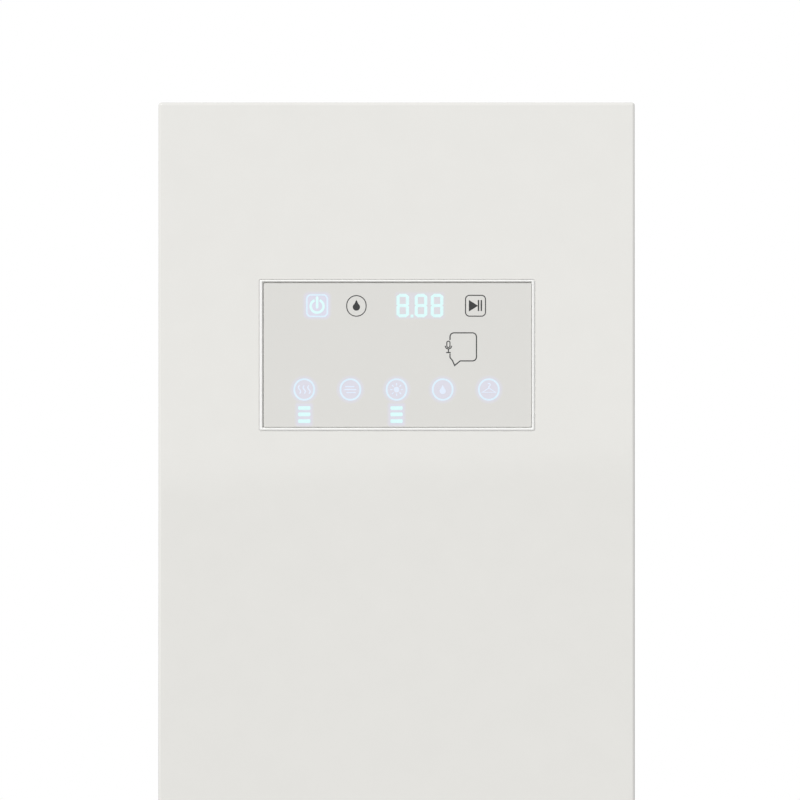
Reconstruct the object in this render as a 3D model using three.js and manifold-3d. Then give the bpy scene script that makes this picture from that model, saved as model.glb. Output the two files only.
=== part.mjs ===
// Clothes care steam cabinet: a tall narrow steel cabinet with a full-size door, a garment chamber,
// a shaking hanger bar in the ceiling, and a heat pump, a steam generator and two water tanks below.
// Millimetres, +Z up, the door faces -Y, and the origin is on the floor under the middle.
import * as THREE from 'three';
import { mergeVertices, toCreasedNormals } from 'three/addons/utils/BufferGeometryUtils.js';
import Module from 'manifold-3d';

const wasm = await Module();
wasm.setup();

// Overall size
const cabinetWidth = 445;
const cabinetHeight = 1850;
const cabinetDepth = 585;

// Stock, fits and cutting
const fitGap = 0.3; // between two pieces that touch or run in each other
const overrun = 5; // how far a cutting body runs past the piece that it cuts
const steelSheet = 1;
const mouldedWall = 2;

// Door
const doorThickness = 62;
const doorBottomZ = 220;
const doorEdgeRadius = 3;
const doorLinerSheet = 2;
const doorFieldMargin = 12; // from the gasket's inner edge to the raised field of the liner
const doorFieldRise = 4;
const gasketThickness = 8.5; // squeezed between door and frame
const gasketWidth = 11;
const gasketMargin = 3; // from the chamber opening to the gasket
const gasketBaseThickness = 3.5;
const gasketNeckInset = 2.5;

// Door hinges
const hingeInset = 15.5; // pin axis to the side of the door
const hingeSetback = 26.5; // pin axis to the rear face of the door
const hingePinRadius = 4;
const hingePinReach = 22; // pin below the arm
const hingeArmHalfWidth = 10;
const hingePlate = 3;
const hingeArmDrop = 7; // end face of the door to the arm
const hingeLeafHeight = 60;
const hingeWasherRadius = 8;
const recessDepth = 14; // pocket in the end of the door that the arm sweeps
const recessReach = 20.5; // pocket ahead of the pin axis
const recessSideRoom = 2;
const hingeBlockDepth = 28;

// Door grip, a finger cup in the free side of the door
const gripDrop = 45; // cup centre below the middle of the door
const gripHeight = 260;
const gripWidth = 34;
const gripDepth = 25;
const gripCornerRadius = 10;
const gripFlange = 5;
const gripSetback = 33.5; // cup centre to the door face

// Control panel
const panelWidth = 258;
const panelHeight = 142;
const panelDrop = 235.8; // top of the door to the panel's centre
const panelCornerRadius = 1.5;
const bezelProud = 0.6;
const bezelRim = 3.6;
const bezelGroove = 1.1;
const bezelFlange = 5;
const bezelLedge = 5;
const bezelFlangeSheet = 2;
const touchPanelSheet = 3.2;
const carrierDepth = 26;
const carrierMargin = 1; // carrier walls inside the bezel's ledge
const boardSheet = 1.6;
const boardSetback = 18.5; // rear of the touch panel to the board
const boardPostRadius = 3;
const boardPostInset = 8;
const keyPitch = 43.1;
const keyRowDrop = 32.2; // panel centre down to the row of mode keys
const upperRowRise = 46; // panel centre up to the power key and the digits
const keyGuideRadius = 11;
const keyGuideWall = 3;
const powerKeyX = -74.2;
const pauseKeyX = 73.5;
const digitBlockX = 21.9;
const digitBlockWidth = 50;
const digitBlockHeight = 24;

// Chamber and front frame
const openingSideMargin = 42.5; // side of the cabinet to the chamber opening
const openingBottomZ = 392;
const openingTopMargin = 92;
const openingRadius = 18;
const frameSheet = 1.2;
const frameReturn = 14;
const linerWall = 2;
const linerFlange = 13.5;
const rearSpace = 42.5; // chamber's back wall to the back of the cabinet
const ledgeRise = 168; // opening's lower edge to the top of the shelf ledges
const ledgeDepth = 12.5;
const ledgeThickness = 8;
const ledgeFrontSetback = 102;
const ledgeRearSetback = 70;

// Cabinet shell
const footHeight = 20;
const panFloor = 1.5;
const panWallHeight = 45;
const panFrontHeight = 10;
const sideBottomZ = 22;
const sideFrontFlange = 18;
const sideRearFlange = 14;
const topDrop = 2; // cabinet top below the top of the door
const topFlange = 12;
const topFlangeInset = 12;
const plinthThickness = 1.2;
const plinthSlotWidth = 7;
const plinthSlotPitch = 16;
const plinthSlotHeight = 20;
const plinthMargin = 16;
const louvreLength = 130;
const louvreHeight = 6;
const louvrePitch = 22;
const louvreFirstZ = 150;
const louvreColumnX = 95;
const louvreRows = 8;
const railTopZ = 66; // frame rail under the tanks
const railHeight = 8;
const tankOpeningDrop = 8; // bottom of the door to the tank opening
const tankOpeningSideMargin = 19.5;

// Levelling feet
const footRadius = 18;
const footPadHeight = 9;
const footStemRadius = 4;
const footStemTopZ = 38;
const footHoleRoom = 0.8;
const footInsetX = 34;
const footInsetFront = 37;
const footInsetRear = 37.5;

// Tank bay and tanks
const machineDepth = 312; // back panel to the rear of the tank bay
const bayTopRoom = 1; // below the frame's opening
const baySkirtSetback = 22;
const tankInnerX = 6;
const tankSideRoom = 24.5;
const tankTopZ = 160;
const tankNoseSetback = 45.9; // door face to the tank's front end
const tankRadius = 12;
const tankWall = 2.2;
const tankBayRoom = 3.5; // tank's rear to the bay's rear wall
const tankFrontGap = 3.5; // between the two fronts, and under the door
const tankFrontBottomZ = 62;
const tankFrontClearance = 2; // front's rear edge to the frame
const neckRadius = 14;
const neckHeight = 10;
const neckBore = 10;
const neckSetback = 36; // behind the tank's front face
const capRadius = 19;
const capHeight = 14;
const capGripHeight = 8;
const capGripHalfWidth = 3;
const pullWidth = 110;
const pullHeight = 20;
const pullDepth = 30;
const pullSetback = 11;
const spigotRadius = 6;
const spigotBore = 3.5;
const spigotZ = 80;
const spigotReach = 10; // past the rear of the tank

// Air duct, coils and fan
const ductSideRoom = 95.5; // side of the cabinet to the duct
const ductFrontRoom = 55.5;
const ductRearRoom = 74.8;
const drainSetback = 24; // ahead of the tank's rear
const drainInset = 25; // from the duct's side
const drainRadius = 7;
const drainBore = 5;
const drainLength = 11;
const coilDepth = 35;
const coilSideRoom = 17;
const coilHeight = 168;
const finPitch = 14.6;
const finThickness = 5;
const finDepth = 9;
const evaporatorSetback = 162.5; // from the duct's front
const coilSpacing = 60;
const coilTubeRadius = 4.5;
const coilTubeRows = 6;
const coilBendReach = 13;
const coilBendSteps = 4;
const coilTubeSides = 6;
const fanDrop = 88.2; // top of the duct to the fan's axis
const fanRadius = 54;
const fanBladeDepth = 11;
const fanBladeSheet = 1.6;
const fanWidth = 34;
const fanPlate = 2;
const fanHubRadius = 12;
const fanHubLength = 14;
const fanShaftRadius = 4;
const fanBlades = 16;
const fanBladeLead = Math.PI / 14;
const fanRunGap = 3;
const scrollDepth = 44;
const scrollStartRadius = 60;
const scrollGrowth = 18;
const scrollSweep = 1.5 * Math.PI;
const scrollSteps = 24;
const scrollInletRadius = 42;
const riserRise = 108; // above the opening's lower edge
const riserMargin = 3; // narrower than the duct on each side
const transitionHeight = 16;
const fanMotorRadius = 30;
const fanMotorLength = 22;
const fanMotorBore = 10;
const outletMargin = 4; // inside the riser on each side
const outletRise = 28; // above the opening's lower edge
const outletHeight = 60;
const grilleFlange = 6;
const grilleSheet = 2;
const slatPitch = 11;
const slatSheet = 2;

// Steam and water
const generatorWidth = 110;
const generatorDepth = 90;
const generatorTopZ = 150;
const generatorInset = 72.5; // side of the cabinet to the generator's centre
const generatorSetback = 147.5; // back of the cabinet to its centre
const generatorRadius = 14;
const portRadius = 6;
const portLength = 10;
const generatorInletZ = 110;
const nozzleInset = 38; // side of the chamber opening to the nozzle
const nozzleSetback = 132.5; // back of the cabinet to the nozzle
const nozzleFlangeRadius = 16;
const nozzleStemRadius = 8;
const nozzleStemLength = 26;
const nozzleDomeHeight = 9;
const nozzleBore = 3;
const hoseRadius = 7;
const hoseWall = 2;
const pumpRadius = 20;
const pumpLength = 56;
const pumpNoseLength = 14;
const pumpFootHalfWidth = 14;
const feedHoseRise = 40;

// Compressor and refrigerant pipes
const compressorInset = 107.5;
const compressorSetback = 102.5;
const compressorRadius = 55;
const compressorTopZ = 190;
const compressorSeamZ = 118;
const compressorSeamWidth = 2.5;
const compressorFootRadius = 62;
const compressorFootHeight = 6;
const pipeRadius = 4;
const dischargePortZ = 150;
const dischargeDrop = 58.2; // top of the duct to the pipe
const dischargeSwing = 20; // how far the pipe swings out beyond the compressor
const suctionPortZ = 80;
const suctionRise = 38.7; // bottom of the duct to the pipe
const suctionSwing = 68;
const pipeLead = 12; // straight run into the coil

// Electronics and mains
const controlSetback = 80.5;
const controlLength = 180;
const controlRise = 23.7; // above the bottom of the duct
const controlHeight = 120;
const controlStandoff = 12;
const controlStandoffRadius = 4;
const inletInset = 72.5;
const inletZ = 100;
const inletWidth = 28;
const inletHeight = 20;
const inletDepth = 24;
const inletWall = 3;
const inletFlange = 5;

// Shaker drive above the chamber
const shakerStroke = 18; // each way from the middle
const drivePlateDrop = 80; // top of the door to the plate's underside
const drivePlateSheet = 2.5;
const drivePlateFrontReach = 95; // ahead of the crank
const drivePlateRearReach = 45; // behind the motor
const drivePlateFlange = 20;
const rodRise = 30; // above the plate's underside
const rodRadius = 5;
const rodEndRoom = 30; // side of the chamber opening to the end of a rod
const rodOffset = 55;
const rodBlockInset = 10; // rod's end to the middle of its block
const rodBlockWidth = 16;
const rodBlockHalfDepth = 10;
const carriageRise = 12; // rod's axis to the carriage plate
const carriageSheet = 4;
const carriageInset = 42; // shorter than the rods at each end
const carriageHalfDepth = 68;
const bearingInset = 33; // carriage's end to the middle of a bearing
const bearingHalfLength = 15;
const bearingHalfWidth = 11;
const bearingDrop = 8; // bearing block under the rod's axis
const armInset = 18; // carriage's end to the middle of an arm
const armHalfWidth = 8;
const armHalfDepth = 5;
const armSlotRoom = 2.5;
const barDrop = 60; // plate's underside to the top of the hanger bar
const barHeight = 20;
const barHalfDepth = 8;
const barEndMargin = 30; // bar's end to its outermost notch, at least
const barNotchPitch = 38;
const barNotchWidth = 7;
const barNotchDepth = 6;
const pulleyRadius = 42;
const pulleyFlange = 3;
const pulleyFlangeSheet = 1.5;
const pulleyRise = 8.5; // above the plate's underside
const beltWidth = 8;
const beltThickness = 2;
const beltRoom = 0.5; // belt edge to pulley flange
const crankShaftRadius = 6;
const crankPinRadius = 5;
const crankBossRadius = 11;
const motorPulleyRadius = 12;
const beltCentres = 150; // crank axis to motor axis
const motorRadius = 31;
const motorHeight = 44;
const motorShaftRadius = 4;
const motorBore = 10;
const bridgeRise = 24; // above the plate's underside
const bridgeHalfWidth = 36;
const beltBigSteps = 20;
const beltSmallSteps = 8;

// Chamber fittings
const filterSideRoom = 19; // inside the duct on each side
const filterFrontRoom = 17;
const filterLength = 106;
const filterRim = 9;
const filterRimSheet = 3;
const filterDepth = 48;
const filterSlotPitch = 12;
const filterSlotWidth = 6;
const filterHandleHalfWidth = 40;
const filterHandleHeight = 16;
const filterHandleThickness = 6;
const shelfClearance = 1.2;
const shelfThickness = 8;
const shelfRim = 12;
const shelfBarWidth = 6;
const shelfBarPitch = 24;
const lampHalfWidth = 58;
const lampHalfDepth = 13;
const lampSetback = 55.5;
const lampFlange = 5;
const lampSheet = 2;
const lampBodyHeight = 8;

// Facets on round forms
const coarseSides = 10;
const roundSides = 16;
const fineSides = 24;
const cornerSteps = 2;
const hoseSides = 8;
const pipeSides = 6;
const pipeSteps = 16;
const hoseSteps = 10;
const creaseAngle = Math.PI / 6;

// Shares, as parts of a whole
const roundEndShare = 0.95; // of half a slot's width, so that its ends stop short of a half circle
const capGripShare = 0.9; // of the cap's radius
const compressorShoulderShare = 0.3; // of the shell's radius
const compressorDomeShares = [[1, 1], [0.9, 0.45], [0.6, 0.1]]; // of the radius and of the shoulder
const nozzleDomeShares = [[1, 0], [0.9, 0.4], [0.5, 1]]; // of the radius and of the dome's height
const fanBladeShares = [0, 0.5, 1]; // of a blade's depth
// Components on the control board: parts of its length, of its height and of the room above it
const componentShares = [
  { y: [0.08, 0.3], z: [0.12, 0.42], height: 0.9 },
  { y: [0.08, 0.26], z: [0.55, 0.85], height: 0.6 },
  { y: [0.38, 0.55], z: [0.15, 0.35], height: 0.5 },
  { y: [0.4, 0.72], z: [0.5, 0.8], height: 1 },
  { y: [0.64, 0.9], z: [0.12, 0.3], height: 0.45 },
];
// Routes of pipes and hoses: each row gives shares of the reach along X, Y and Z
const dischargeRouteShares = [
  [0.3, 0, 0],
  [0.9, 0.045, 0.1],
  [1, 0.3, 0.555],
  [0.6, 0.85, 0.93],
  [-0.6, 1, 1],
];
const suctionRouteShares = [
  [0, 0.045, 0],
  [0.2, 0.19, 0.025],
  [0.82, 0.44, 0.18],
  [1, 0.825, 0.65],
  [0.73, 1, 0.97],
];
const steamRouteShares = [[0, 0, 0.1], [0, 0.2, 0.35], [0, 0.8, 0.65], [0, 1, 0.9]];
const feedRouteShares = [[0, 0, 0.35], [0.16, 0.17, 0.95], [0.6, 0.45, 1], [1, 0.66, 0.35]];

// Places that several pieces share
const sideX = cabinetWidth / 2;
const frontY = -cabinetDepth / 2;
const backY = cabinetDepth / 2;
const doorFaceY = frontY + bezelProud;
const doorRearY = frontY + doorThickness;
const cabinetFrontY = doorRearY + gasketThickness;
const frameRearY = cabinetFrontY + frameSheet;
const cabinetTopZ = cabinetHeight - topDrop;
const hingeX = -sideX + hingeInset;
const hingeY = doorRearY - hingeSetback;
const panelZ = cabinetHeight - panelDrop;
const gripCentreZ = (doorBottomZ + cabinetHeight) / 2 - gripDrop;
const sideInnerX = sideX - steelSheet;
const sideFlangeY = frameRearY + fitGap;
const backPanelY = backY - steelSheet;
const sideRearY = backPanelY - fitGap;
const footFrontY = cabinetFrontY + footInsetFront;
const footRearY = backY - footInsetRear;
const panFloorTopZ = footHeight + panFloor;
const machineZ = panFloorTopZ + fitGap; // what stands on the pan starts here
const openingHalfWidth = sideX - openingSideMargin;
const openingTopZ = cabinetHeight - openingTopMargin;
const linerX = openingHalfWidth + frameSheet + fitGap;
const linerFloorZ = openingBottomZ - frameSheet - fitGap;
const linerCeilingZ = openingTopZ + frameSheet + fitGap;
const linerRadius = openingRadius + frameSheet + fitGap;
const chamberBackY = backY - rearSpace;
const ledgeZ = openingBottomZ + ledgeRise;
const ledgeFrontY = cabinetFrontY + ledgeFrontSetback;
const ledgeRearY = chamberBackY - ledgeRearSetback;
const lampY = sideFlangeY + lampSetback;
const tankOpeningTopZ = doorBottomZ - tankOpeningDrop;
const tankOpeningHalfWidth = sideX - tankOpeningSideMargin;
const bayTopZ = tankOpeningTopZ - bayTopRoom;
const bayX = sideX - sideFrontFlange - fitGap;
const bayRearY = backPanelY - machineDepth;
const tankRearY = bayRearY - mouldedWall - tankBayRoom;
const tankNoseY = doorFaceY + tankNoseSetback;
const tankOuterX = sideX - tankSideRoom;
const tankBottomZ = railTopZ + fitGap;
const neckX = (tankInnerX + tankOuterX) / 2;
const neckY = tankNoseY + neckSetback;
const neckTopZ = tankTopZ + neckHeight;
const pumpInletY = tankRearY + spigotReach + fitGap;
const pumpX = -neckX;
const ductHalfWidth = sideX - ductSideRoom;
const ductFrontY = sideFlangeY + ductFrontRoom;
const ductRearY = backY - ductRearRoom;
const ductBottomZ = bayTopZ + fitGap;
const ductTopZ = linerFloorZ - linerWall - fitGap;
const drainX = ductHalfWidth - drainInset;
const drainY = tankRearY - drainSetback;
const coilHalfWidth = ductHalfWidth - coilSideRoom;
const evaporatorY = ductFrontY + evaporatorSetback;
const condenserY = evaporatorY + coilSpacing;
const filterHalfWidth = ductHalfWidth - filterSideRoom;
const filterFrontY = ductFrontY + filterFrontRoom;
const filterRearY = filterFrontY + filterLength;
const fanZ = ductTopZ - fanDrop;
const riserTopZ = openingBottomZ + riserRise;
const riserHalfWidth = ductHalfWidth - riserMargin;
const outletHalfWidth = riserHalfWidth - outletMargin;
const outletBottomZ = openingBottomZ + outletRise;
const outletTopZ = outletBottomZ + outletHeight;
const scrollFrontY = ductRearY + fitGap;
const scrollRearY = scrollFrontY + scrollDepth;
const riserFrontY = chamberBackY + linerWall + fitGap;
const riserRearY = backPanelY - fitGap - mouldedWall;
const generatorX = -sideX + generatorInset;
const generatorY = backY - generatorSetback;
const nozzleX = -openingHalfWidth + nozzleInset;
const nozzleY = backY - nozzleSetback;
const compressorX = sideX - compressorInset;
const compressorY = backY - compressorSetback;
const dischargeTopZ = ductTopZ - dischargeDrop;
const suctionTopZ = ductBottomZ + suctionRise;
const controlFrontY = sideFlangeY + controlSetback;
const controlBottomZ = ductBottomZ + controlRise;
const inletX = sideX - inletInset;
const shakerY = (cabinetFrontY + chamberBackY) / 2;
const motorY = shakerY + beltCentres;
const drivePlateZ = cabinetHeight - drivePlateDrop;
const drivePlateFrontY = shakerY - drivePlateFrontReach;
const drivePlateRearY = motorY + drivePlateRearReach;
const rodZ = drivePlateZ + rodRise;
const rodHalfLength = openingHalfWidth - rodEndRoom;
const rodBlockX = rodHalfLength - rodBlockInset;
const carriageZ = rodZ + carriageRise;
const carriageHalfLength = rodHalfLength - carriageInset;
const bearingX = carriageHalfLength - bearingInset;
const armX = carriageHalfLength - armInset;
const barZ = drivePlateZ - barDrop;
const barHalfLength = rodHalfLength;
const barNotches = 2 * Math.floor((barHalfLength - barEndMargin) / barNotchPitch) + 1;
const pulleyBottomZ = drivePlateZ + pulleyRise;
const bridgeZ = drivePlateZ + bridgeRise;
const plateTopZ = drivePlateZ + drivePlateSheet;

// Helpers that turn three.js geometry into exact solids and back

function solid(geometry) {
  const bare = geometry.index ? geometry.toNonIndexed() : geometry.clone();
  bare.deleteAttribute('normal');
  bare.deleteAttribute('uv');
  const merged = mergeVertices(bare);
  const mesh = new wasm.Mesh({
    numProp: 3,
    vertProperties: new Float32Array(merged.attributes.position.array),
    triVerts: new Uint32Array(merged.index.array),
  });
  return new wasm.Manifold(mesh);
}

function piece(name, shape, material) {
  const { vertProperties, triVerts } = shape.getMesh();
  const geometry = new THREE.BufferGeometry();
  geometry.setAttribute('position', new THREE.BufferAttribute(new Float32Array(vertProperties), 3));
  geometry.setIndex(new THREE.BufferAttribute(new Uint32Array(triVerts), 1));
  const mesh = new THREE.Mesh(toCreasedNormals(geometry, creaseAngle), material);
  mesh.name = name;
  return mesh;
}

function join(...shapes) {
  return shapes.reduce((whole, shape) => whole.add(shape));
}

function cut(shape, ...tools) {
  return tools.reduce((rest, tool) => rest.subtract(tool), shape);
}

const around = (centre, half) => [centre - half, centre + half];
const ordered = (a, b) => [Math.min(a, b), Math.max(a, b)];
const wider = ([low, high], by) => [low - by, high + by];

function block([x0, x1], [y0, y1], [z0, z1]) {
  const geometry = new THREE.BoxGeometry(x1 - x0, y1 - y0, z1 - z0);
  geometry.translate((x0 + x1) / 2, (y0 + y1) / 2, (z0 + z1) / 2);
  return solid(geometry);
}

// An outline drawn in (u, v) and pushed along an axis: (y, z) along X, (x, z) along Y, (x, y) along Z.
const axisFrames = {
  x: [new THREE.Vector3(0, 1, 0), new THREE.Vector3(0, 0, 1), new THREE.Vector3(1, 0, 0)],
  y: [new THREE.Vector3(1, 0, 0), new THREE.Vector3(0, 0, 1), new THREE.Vector3(0, -1, 0)],
  z: [new THREE.Vector3(1, 0, 0), new THREE.Vector3(0, 1, 0), new THREE.Vector3(0, 0, 1)],
};

function prism(shape, axis, [from, to], steps = cornerSteps) {
  const geometry = new THREE.ExtrudeGeometry(shape, {
    depth: to - from,
    bevelEnabled: false,
    curveSegments: steps,
  });
  geometry.applyMatrix4(new THREE.Matrix4().makeBasis(...axisFrames[axis]));
  if (axis === 'x') geometry.translate(from, 0, 0);
  if (axis === 'y') geometry.translate(0, to, 0);
  if (axis === 'z') geometry.translate(0, 0, from);
  return solid(geometry);
}

// A slab along Y with all its edges rounded, as a pressed or moulded front has.
function roundedSlab([x0, x1], [y0, y1], [z0, z1], radius) {
  const shape = rounded([x0 + radius, x1 - radius], [z0 + radius, z1 - radius], 0);
  const geometry = new THREE.ExtrudeGeometry(shape, {
    depth: y1 - y0 - 2 * radius,
    bevelThickness: radius,
    bevelSize: radius,
    bevelSegments: cornerSteps,
    curveSegments: cornerSteps,
  });
  geometry.applyMatrix4(new THREE.Matrix4().makeBasis(...axisFrames.y));
  geometry.translate(0, y1 - radius, 0);
  return solid(geometry);
}

function rounded([u0, u1], [v0, v1], radius) {
  const shape = new THREE.Shape();
  if (radius === 0) {
    shape.moveTo(u0, v0).lineTo(u1, v0).lineTo(u1, v1).lineTo(u0, v1);
    return shape;
  }
  shape.moveTo(u0 + radius, v0);
  shape.lineTo(u1 - radius, v0);
  shape.absarc(u1 - radius, v0 + radius, radius, -Math.PI / 2, 0, false);
  shape.lineTo(u1, v1 - radius);
  shape.absarc(u1 - radius, v1 - radius, radius, 0, Math.PI / 2, false);
  shape.lineTo(u0 + radius, v1);
  shape.absarc(u0 + radius, v1 - radius, radius, Math.PI / 2, Math.PI, false);
  shape.lineTo(u0, v0 + radius);
  shape.absarc(u0 + radius, v0 + radius, radius, Math.PI, 1.5 * Math.PI, false);
  return shape;
}

function polygon(points) {
  return new THREE.Shape(points.map(([u, v]) => new THREE.Vector2(u, v)));
}

function circlePoints(u, v, radius, sides) {
  return Array.from({ length: sides }, (_, i) => {
    const angle = (2 * Math.PI * i) / sides;
    return [u + radius * Math.cos(angle), v + radius * Math.sin(angle)];
  });
}

function round(axis, u, v, radius, along, sides = roundSides) {
  return prism(polygon(circlePoints(u, v, radius, sides)), axis, along);
}

function ring(axis, u, v, outer, inner, along, sides = roundSides) {
  const shape = polygon(circlePoints(u, v, outer, sides));
  shape.holes.push(polygon(circlePoints(u, v, inner, sides)));
  return prism(shape, axis, along);
}

// A turned piece: [radius, z] points from the axis round to the axis, about the line (x, y).
function turned(points, x, y, sides = roundSides) {
  const geometry = new THREE.LatheGeometry(points.map(([r, z]) => new THREE.Vector2(r, z)), sides);
  geometry.rotateX(Math.PI / 2);
  geometry.translate(x, y, 0);
  return solid(geometry);
}

// A tube or a rod along a smooth curve through points.
function alongCurve(points, radius, bore, steps, sides = coarseSides) {
  const shape = polygon(circlePoints(0, 0, radius, sides));
  if (bore > 0) shape.holes.push(polygon(circlePoints(0, 0, bore, sides)));
  const stations = points.map((point) => new THREE.Vector3(...point));
  const path = new THREE.CatmullRomCurve3(stations, false, 'centripetal');
  return solid(new THREE.ExtrudeGeometry(shape, { steps, extrudePath: path, bevelEnabled: false }));
}

// The middle points of a route, as shares of a reach from its start.
function routePoints(start, reach, shares) {
  return shares.map((row) => row.map((share, axis) => start[axis] + reach[axis] * share));
}

// A frame-shaped wall: an outline grown by outer and inner amounts, pushed along Y.
function frameWall(base, outer, inner, along) {
  const shape = rounded(wider(base.x, outer), wider(base.z, outer), base.radius + outer);
  const grown = prism(shape, 'y', along);
  const hole = rounded(wider(base.x, inner), wider(base.z, inner), Math.max(base.radius + inner, 0));
  return cut(grown, prism(hole, 'y', wider(along, overrun)));
}

// Materials

function finish(color, roughness, metalness = 0) {
  return new THREE.MeshStandardMaterial({ color, roughness, metalness });
}

const paintedSteel = finish(0xe8e7e3, 0.3);
const galvanised = finish(0xb4b8ba, 0.5, 0.8);
const stainless = finish(0xc3c6c8, 0.35, 0.9);
const innerWhite = finish(0xe2e3e1, 0.45);
const whitePlastic = finish(0xdfdeda, 0.4);
const greyPlastic = finish(0x8e9192, 0.55);
const darkPlastic = finish(0x2e3133, 0.6);
const clearPlastic = finish(0xcfdde3, 0.15);
const blackRubber = finish(0x232425, 0.85);
const greyRubber = finish(0xa9abab, 0.8);
const copper = finish(0xb87352, 0.35, 0.9);
const aluminiumFin = finish(0xc9cdd0, 0.4, 0.9);
const circuitGreen = finish(0x2c6b45, 0.5);
const compressorBlack = finish(0x1c1d1f, 0.45, 0.3);
const hoseSilicone = finish(0xd9d4c8, 0.6);
const touchSurface = finish(0xdfdeda, 0.25);
const bezelSatin = finish(0xefefed, 0.3, 0.1);

// Cabinet shell

function basePan() {
  const halfWidth = sideInnerX - fitGap;
  const pan = { front: sideFlangeY + steelSheet + fitGap, rear: sideRearY - steelSheet - fitGap };
  const z = [footHeight, footHeight + panWallHeight];
  const outside = block([-halfWidth, halfWidth], [pan.front, pan.rear], z);
  const inside = block(
    [-halfWidth + panFloor, halfWidth - panFloor],
    [pan.front + panFloor, pan.rear - panFloor],
    [panFloorTopZ, footHeight + panWallHeight + overrun],
  );
  const lowFront = block(
    [-halfWidth - overrun, halfWidth + overrun],
    [pan.front - overrun, bayRearY],
    [panFloorTopZ + panFrontHeight, footHeight + panWallHeight + overrun],
  );
  const holes = footPlaces.map(({ x, y }) =>
    round('z', x, y, footStemRadius + footHoleRoom, around(footHeight, overrun), coarseSides),
  );
  return piece('base_pan', cut(outside, inside, lowFront, ...holes), galvanised);
}

function sidePanel(name, side) {
  const flangeRear = sideFlangeY + steelSheet;
  const profile = [
    [sideX, cabinetFrontY],
    [sideX, sideRearY],
    [sideX - sideRearFlange, sideRearY],
    [sideX - sideRearFlange, sideRearY - steelSheet],
    [sideInnerX, sideRearY - steelSheet],
    [sideInnerX, flangeRear],
    [sideX - sideFrontFlange, flangeRear],
    [sideX - sideFrontFlange, sideFlangeY],
    [sideInnerX, sideFlangeY],
    [sideInnerX, cabinetFrontY],
  ];
  const shape = polygon(profile.map(([x, y]) => [side * x, y]));
  return piece(name, prism(shape, 'z', [sideBottomZ, cabinetTopZ - steelSheet - fitGap]), paintedSteel);
}

function topPanel() {
  const plate = block([-sideX, sideX], [cabinetFrontY, backY], [cabinetTopZ - steelSheet, cabinetTopZ]);
  const along = [sideFlangeY + topFlangeInset, sideRearY - topFlangeInset];
  const flanges = [-1, 1].map((side) =>
    block(
      ordered(side * (sideInnerX - fitGap), side * (sideInnerX - fitGap - steelSheet)),
      along,
      [cabinetTopZ - topFlange, cabinetTopZ],
    ),
  );
  return piece('top_panel', join(plate, ...flanges), paintedSteel);
}

function backPanel() {
  const shape = rounded([-sideX, sideX], [sideBottomZ, cabinetTopZ - steelSheet - fitGap], 0);
  for (const column of [-1, 1]) {
    for (let row = 0; row < louvreRows; row += 1) {
      const z = louvreFirstZ + row * louvrePitch;
      const x = column * louvreColumnX;
      const half = louvreHeight / 2;
      shape.holes.push(rounded(around(x, louvreLength / 2), around(z, half), half * roundEndShare));
    }
  }
  const opening = rounded(
    around(inletX, inletWidth / 2 + fitGap),
    around(inletZ, inletHeight / 2 + fitGap),
    0,
  );
  shape.holes.push(opening);
  return piece('back_panel', prism(shape, 'y', [backPanelY, backY], 1), galvanised);
}

const chamberOpening = {
  x: [-openingHalfWidth, openingHalfWidth],
  z: [openingBottomZ, openingTopZ],
  radius: openingRadius,
};

function frontFrame() {
  const halfWidth = sideInnerX - fitGap;
  const z = [railTopZ - railHeight, cabinetTopZ - steelSheet - fitGap];
  const shape = rounded([-halfWidth, halfWidth], z, 0);
  const tankOpening = rounded(
    [-tankOpeningHalfWidth, tankOpeningHalfWidth],
    [railTopZ, tankOpeningTopZ],
    0,
  );
  shape.holes.push(rounded(chamberOpening.x, chamberOpening.z, chamberOpening.radius), tankOpening);
  const plate = prism(shape, 'y', [cabinetFrontY, frameRearY]);
  const lip = frameWall(chamberOpening, frameSheet, 0, [cabinetFrontY, cabinetFrontY + frameReturn]);
  return piece('front_frame', join(plate, lip), paintedSteel);
}

function plinthGrille() {
  const halfWidth = sideInnerX - fitGap;
  const top = railTopZ - railHeight - fitGap;
  const y = [cabinetFrontY, cabinetFrontY + plinthThickness];
  const plate = block([-halfWidth, halfWidth], y, [sideBottomZ, top]);
  const slotZ = around((sideBottomZ + top) / 2, plinthSlotHeight / 2);
  const count = Math.floor((halfWidth - plinthMargin) / plinthSlotPitch);
  const slots = [];
  for (let slot = -count; slot <= count; slot += 1) {
    slots.push(block(around(slot * plinthSlotPitch, plinthSlotWidth / 2), wider(y, overrun), slotZ));
  }
  return piece('plinth_grille', cut(plate, ...slots), whitePlastic);
}

// Levelling feet

const footPlaces = [
  { name: 'foot_front_left', x: -sideX + footInsetX, y: footFrontY },
  { name: 'foot_front_right', x: sideX - footInsetX, y: footFrontY },
  { name: 'foot_rear_left', x: -sideX + footInsetX, y: footRearY },
  { name: 'foot_rear_right', x: sideX - footInsetX, y: footRearY },
];

function levellingFoot({ name, x, y }) {
  const padNeckRadius = footRadius / 2;
  const profile = [
    [0, 0],
    [footRadius, 0],
    [footRadius, footPadHeight / 2],
    [padNeckRadius, footPadHeight],
    [padNeckRadius, footHeight - fitGap],
    [footStemRadius, footHeight - fitGap],
    [footStemRadius, footStemTopZ],
    [0, footStemTopZ],
  ];
  const foot = piece(name, turned(profile, 0, 0, coarseSides), darkPlastic);
  foot.position.set(x, y, 0);
  return foot;
}

// Chamber

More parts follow.
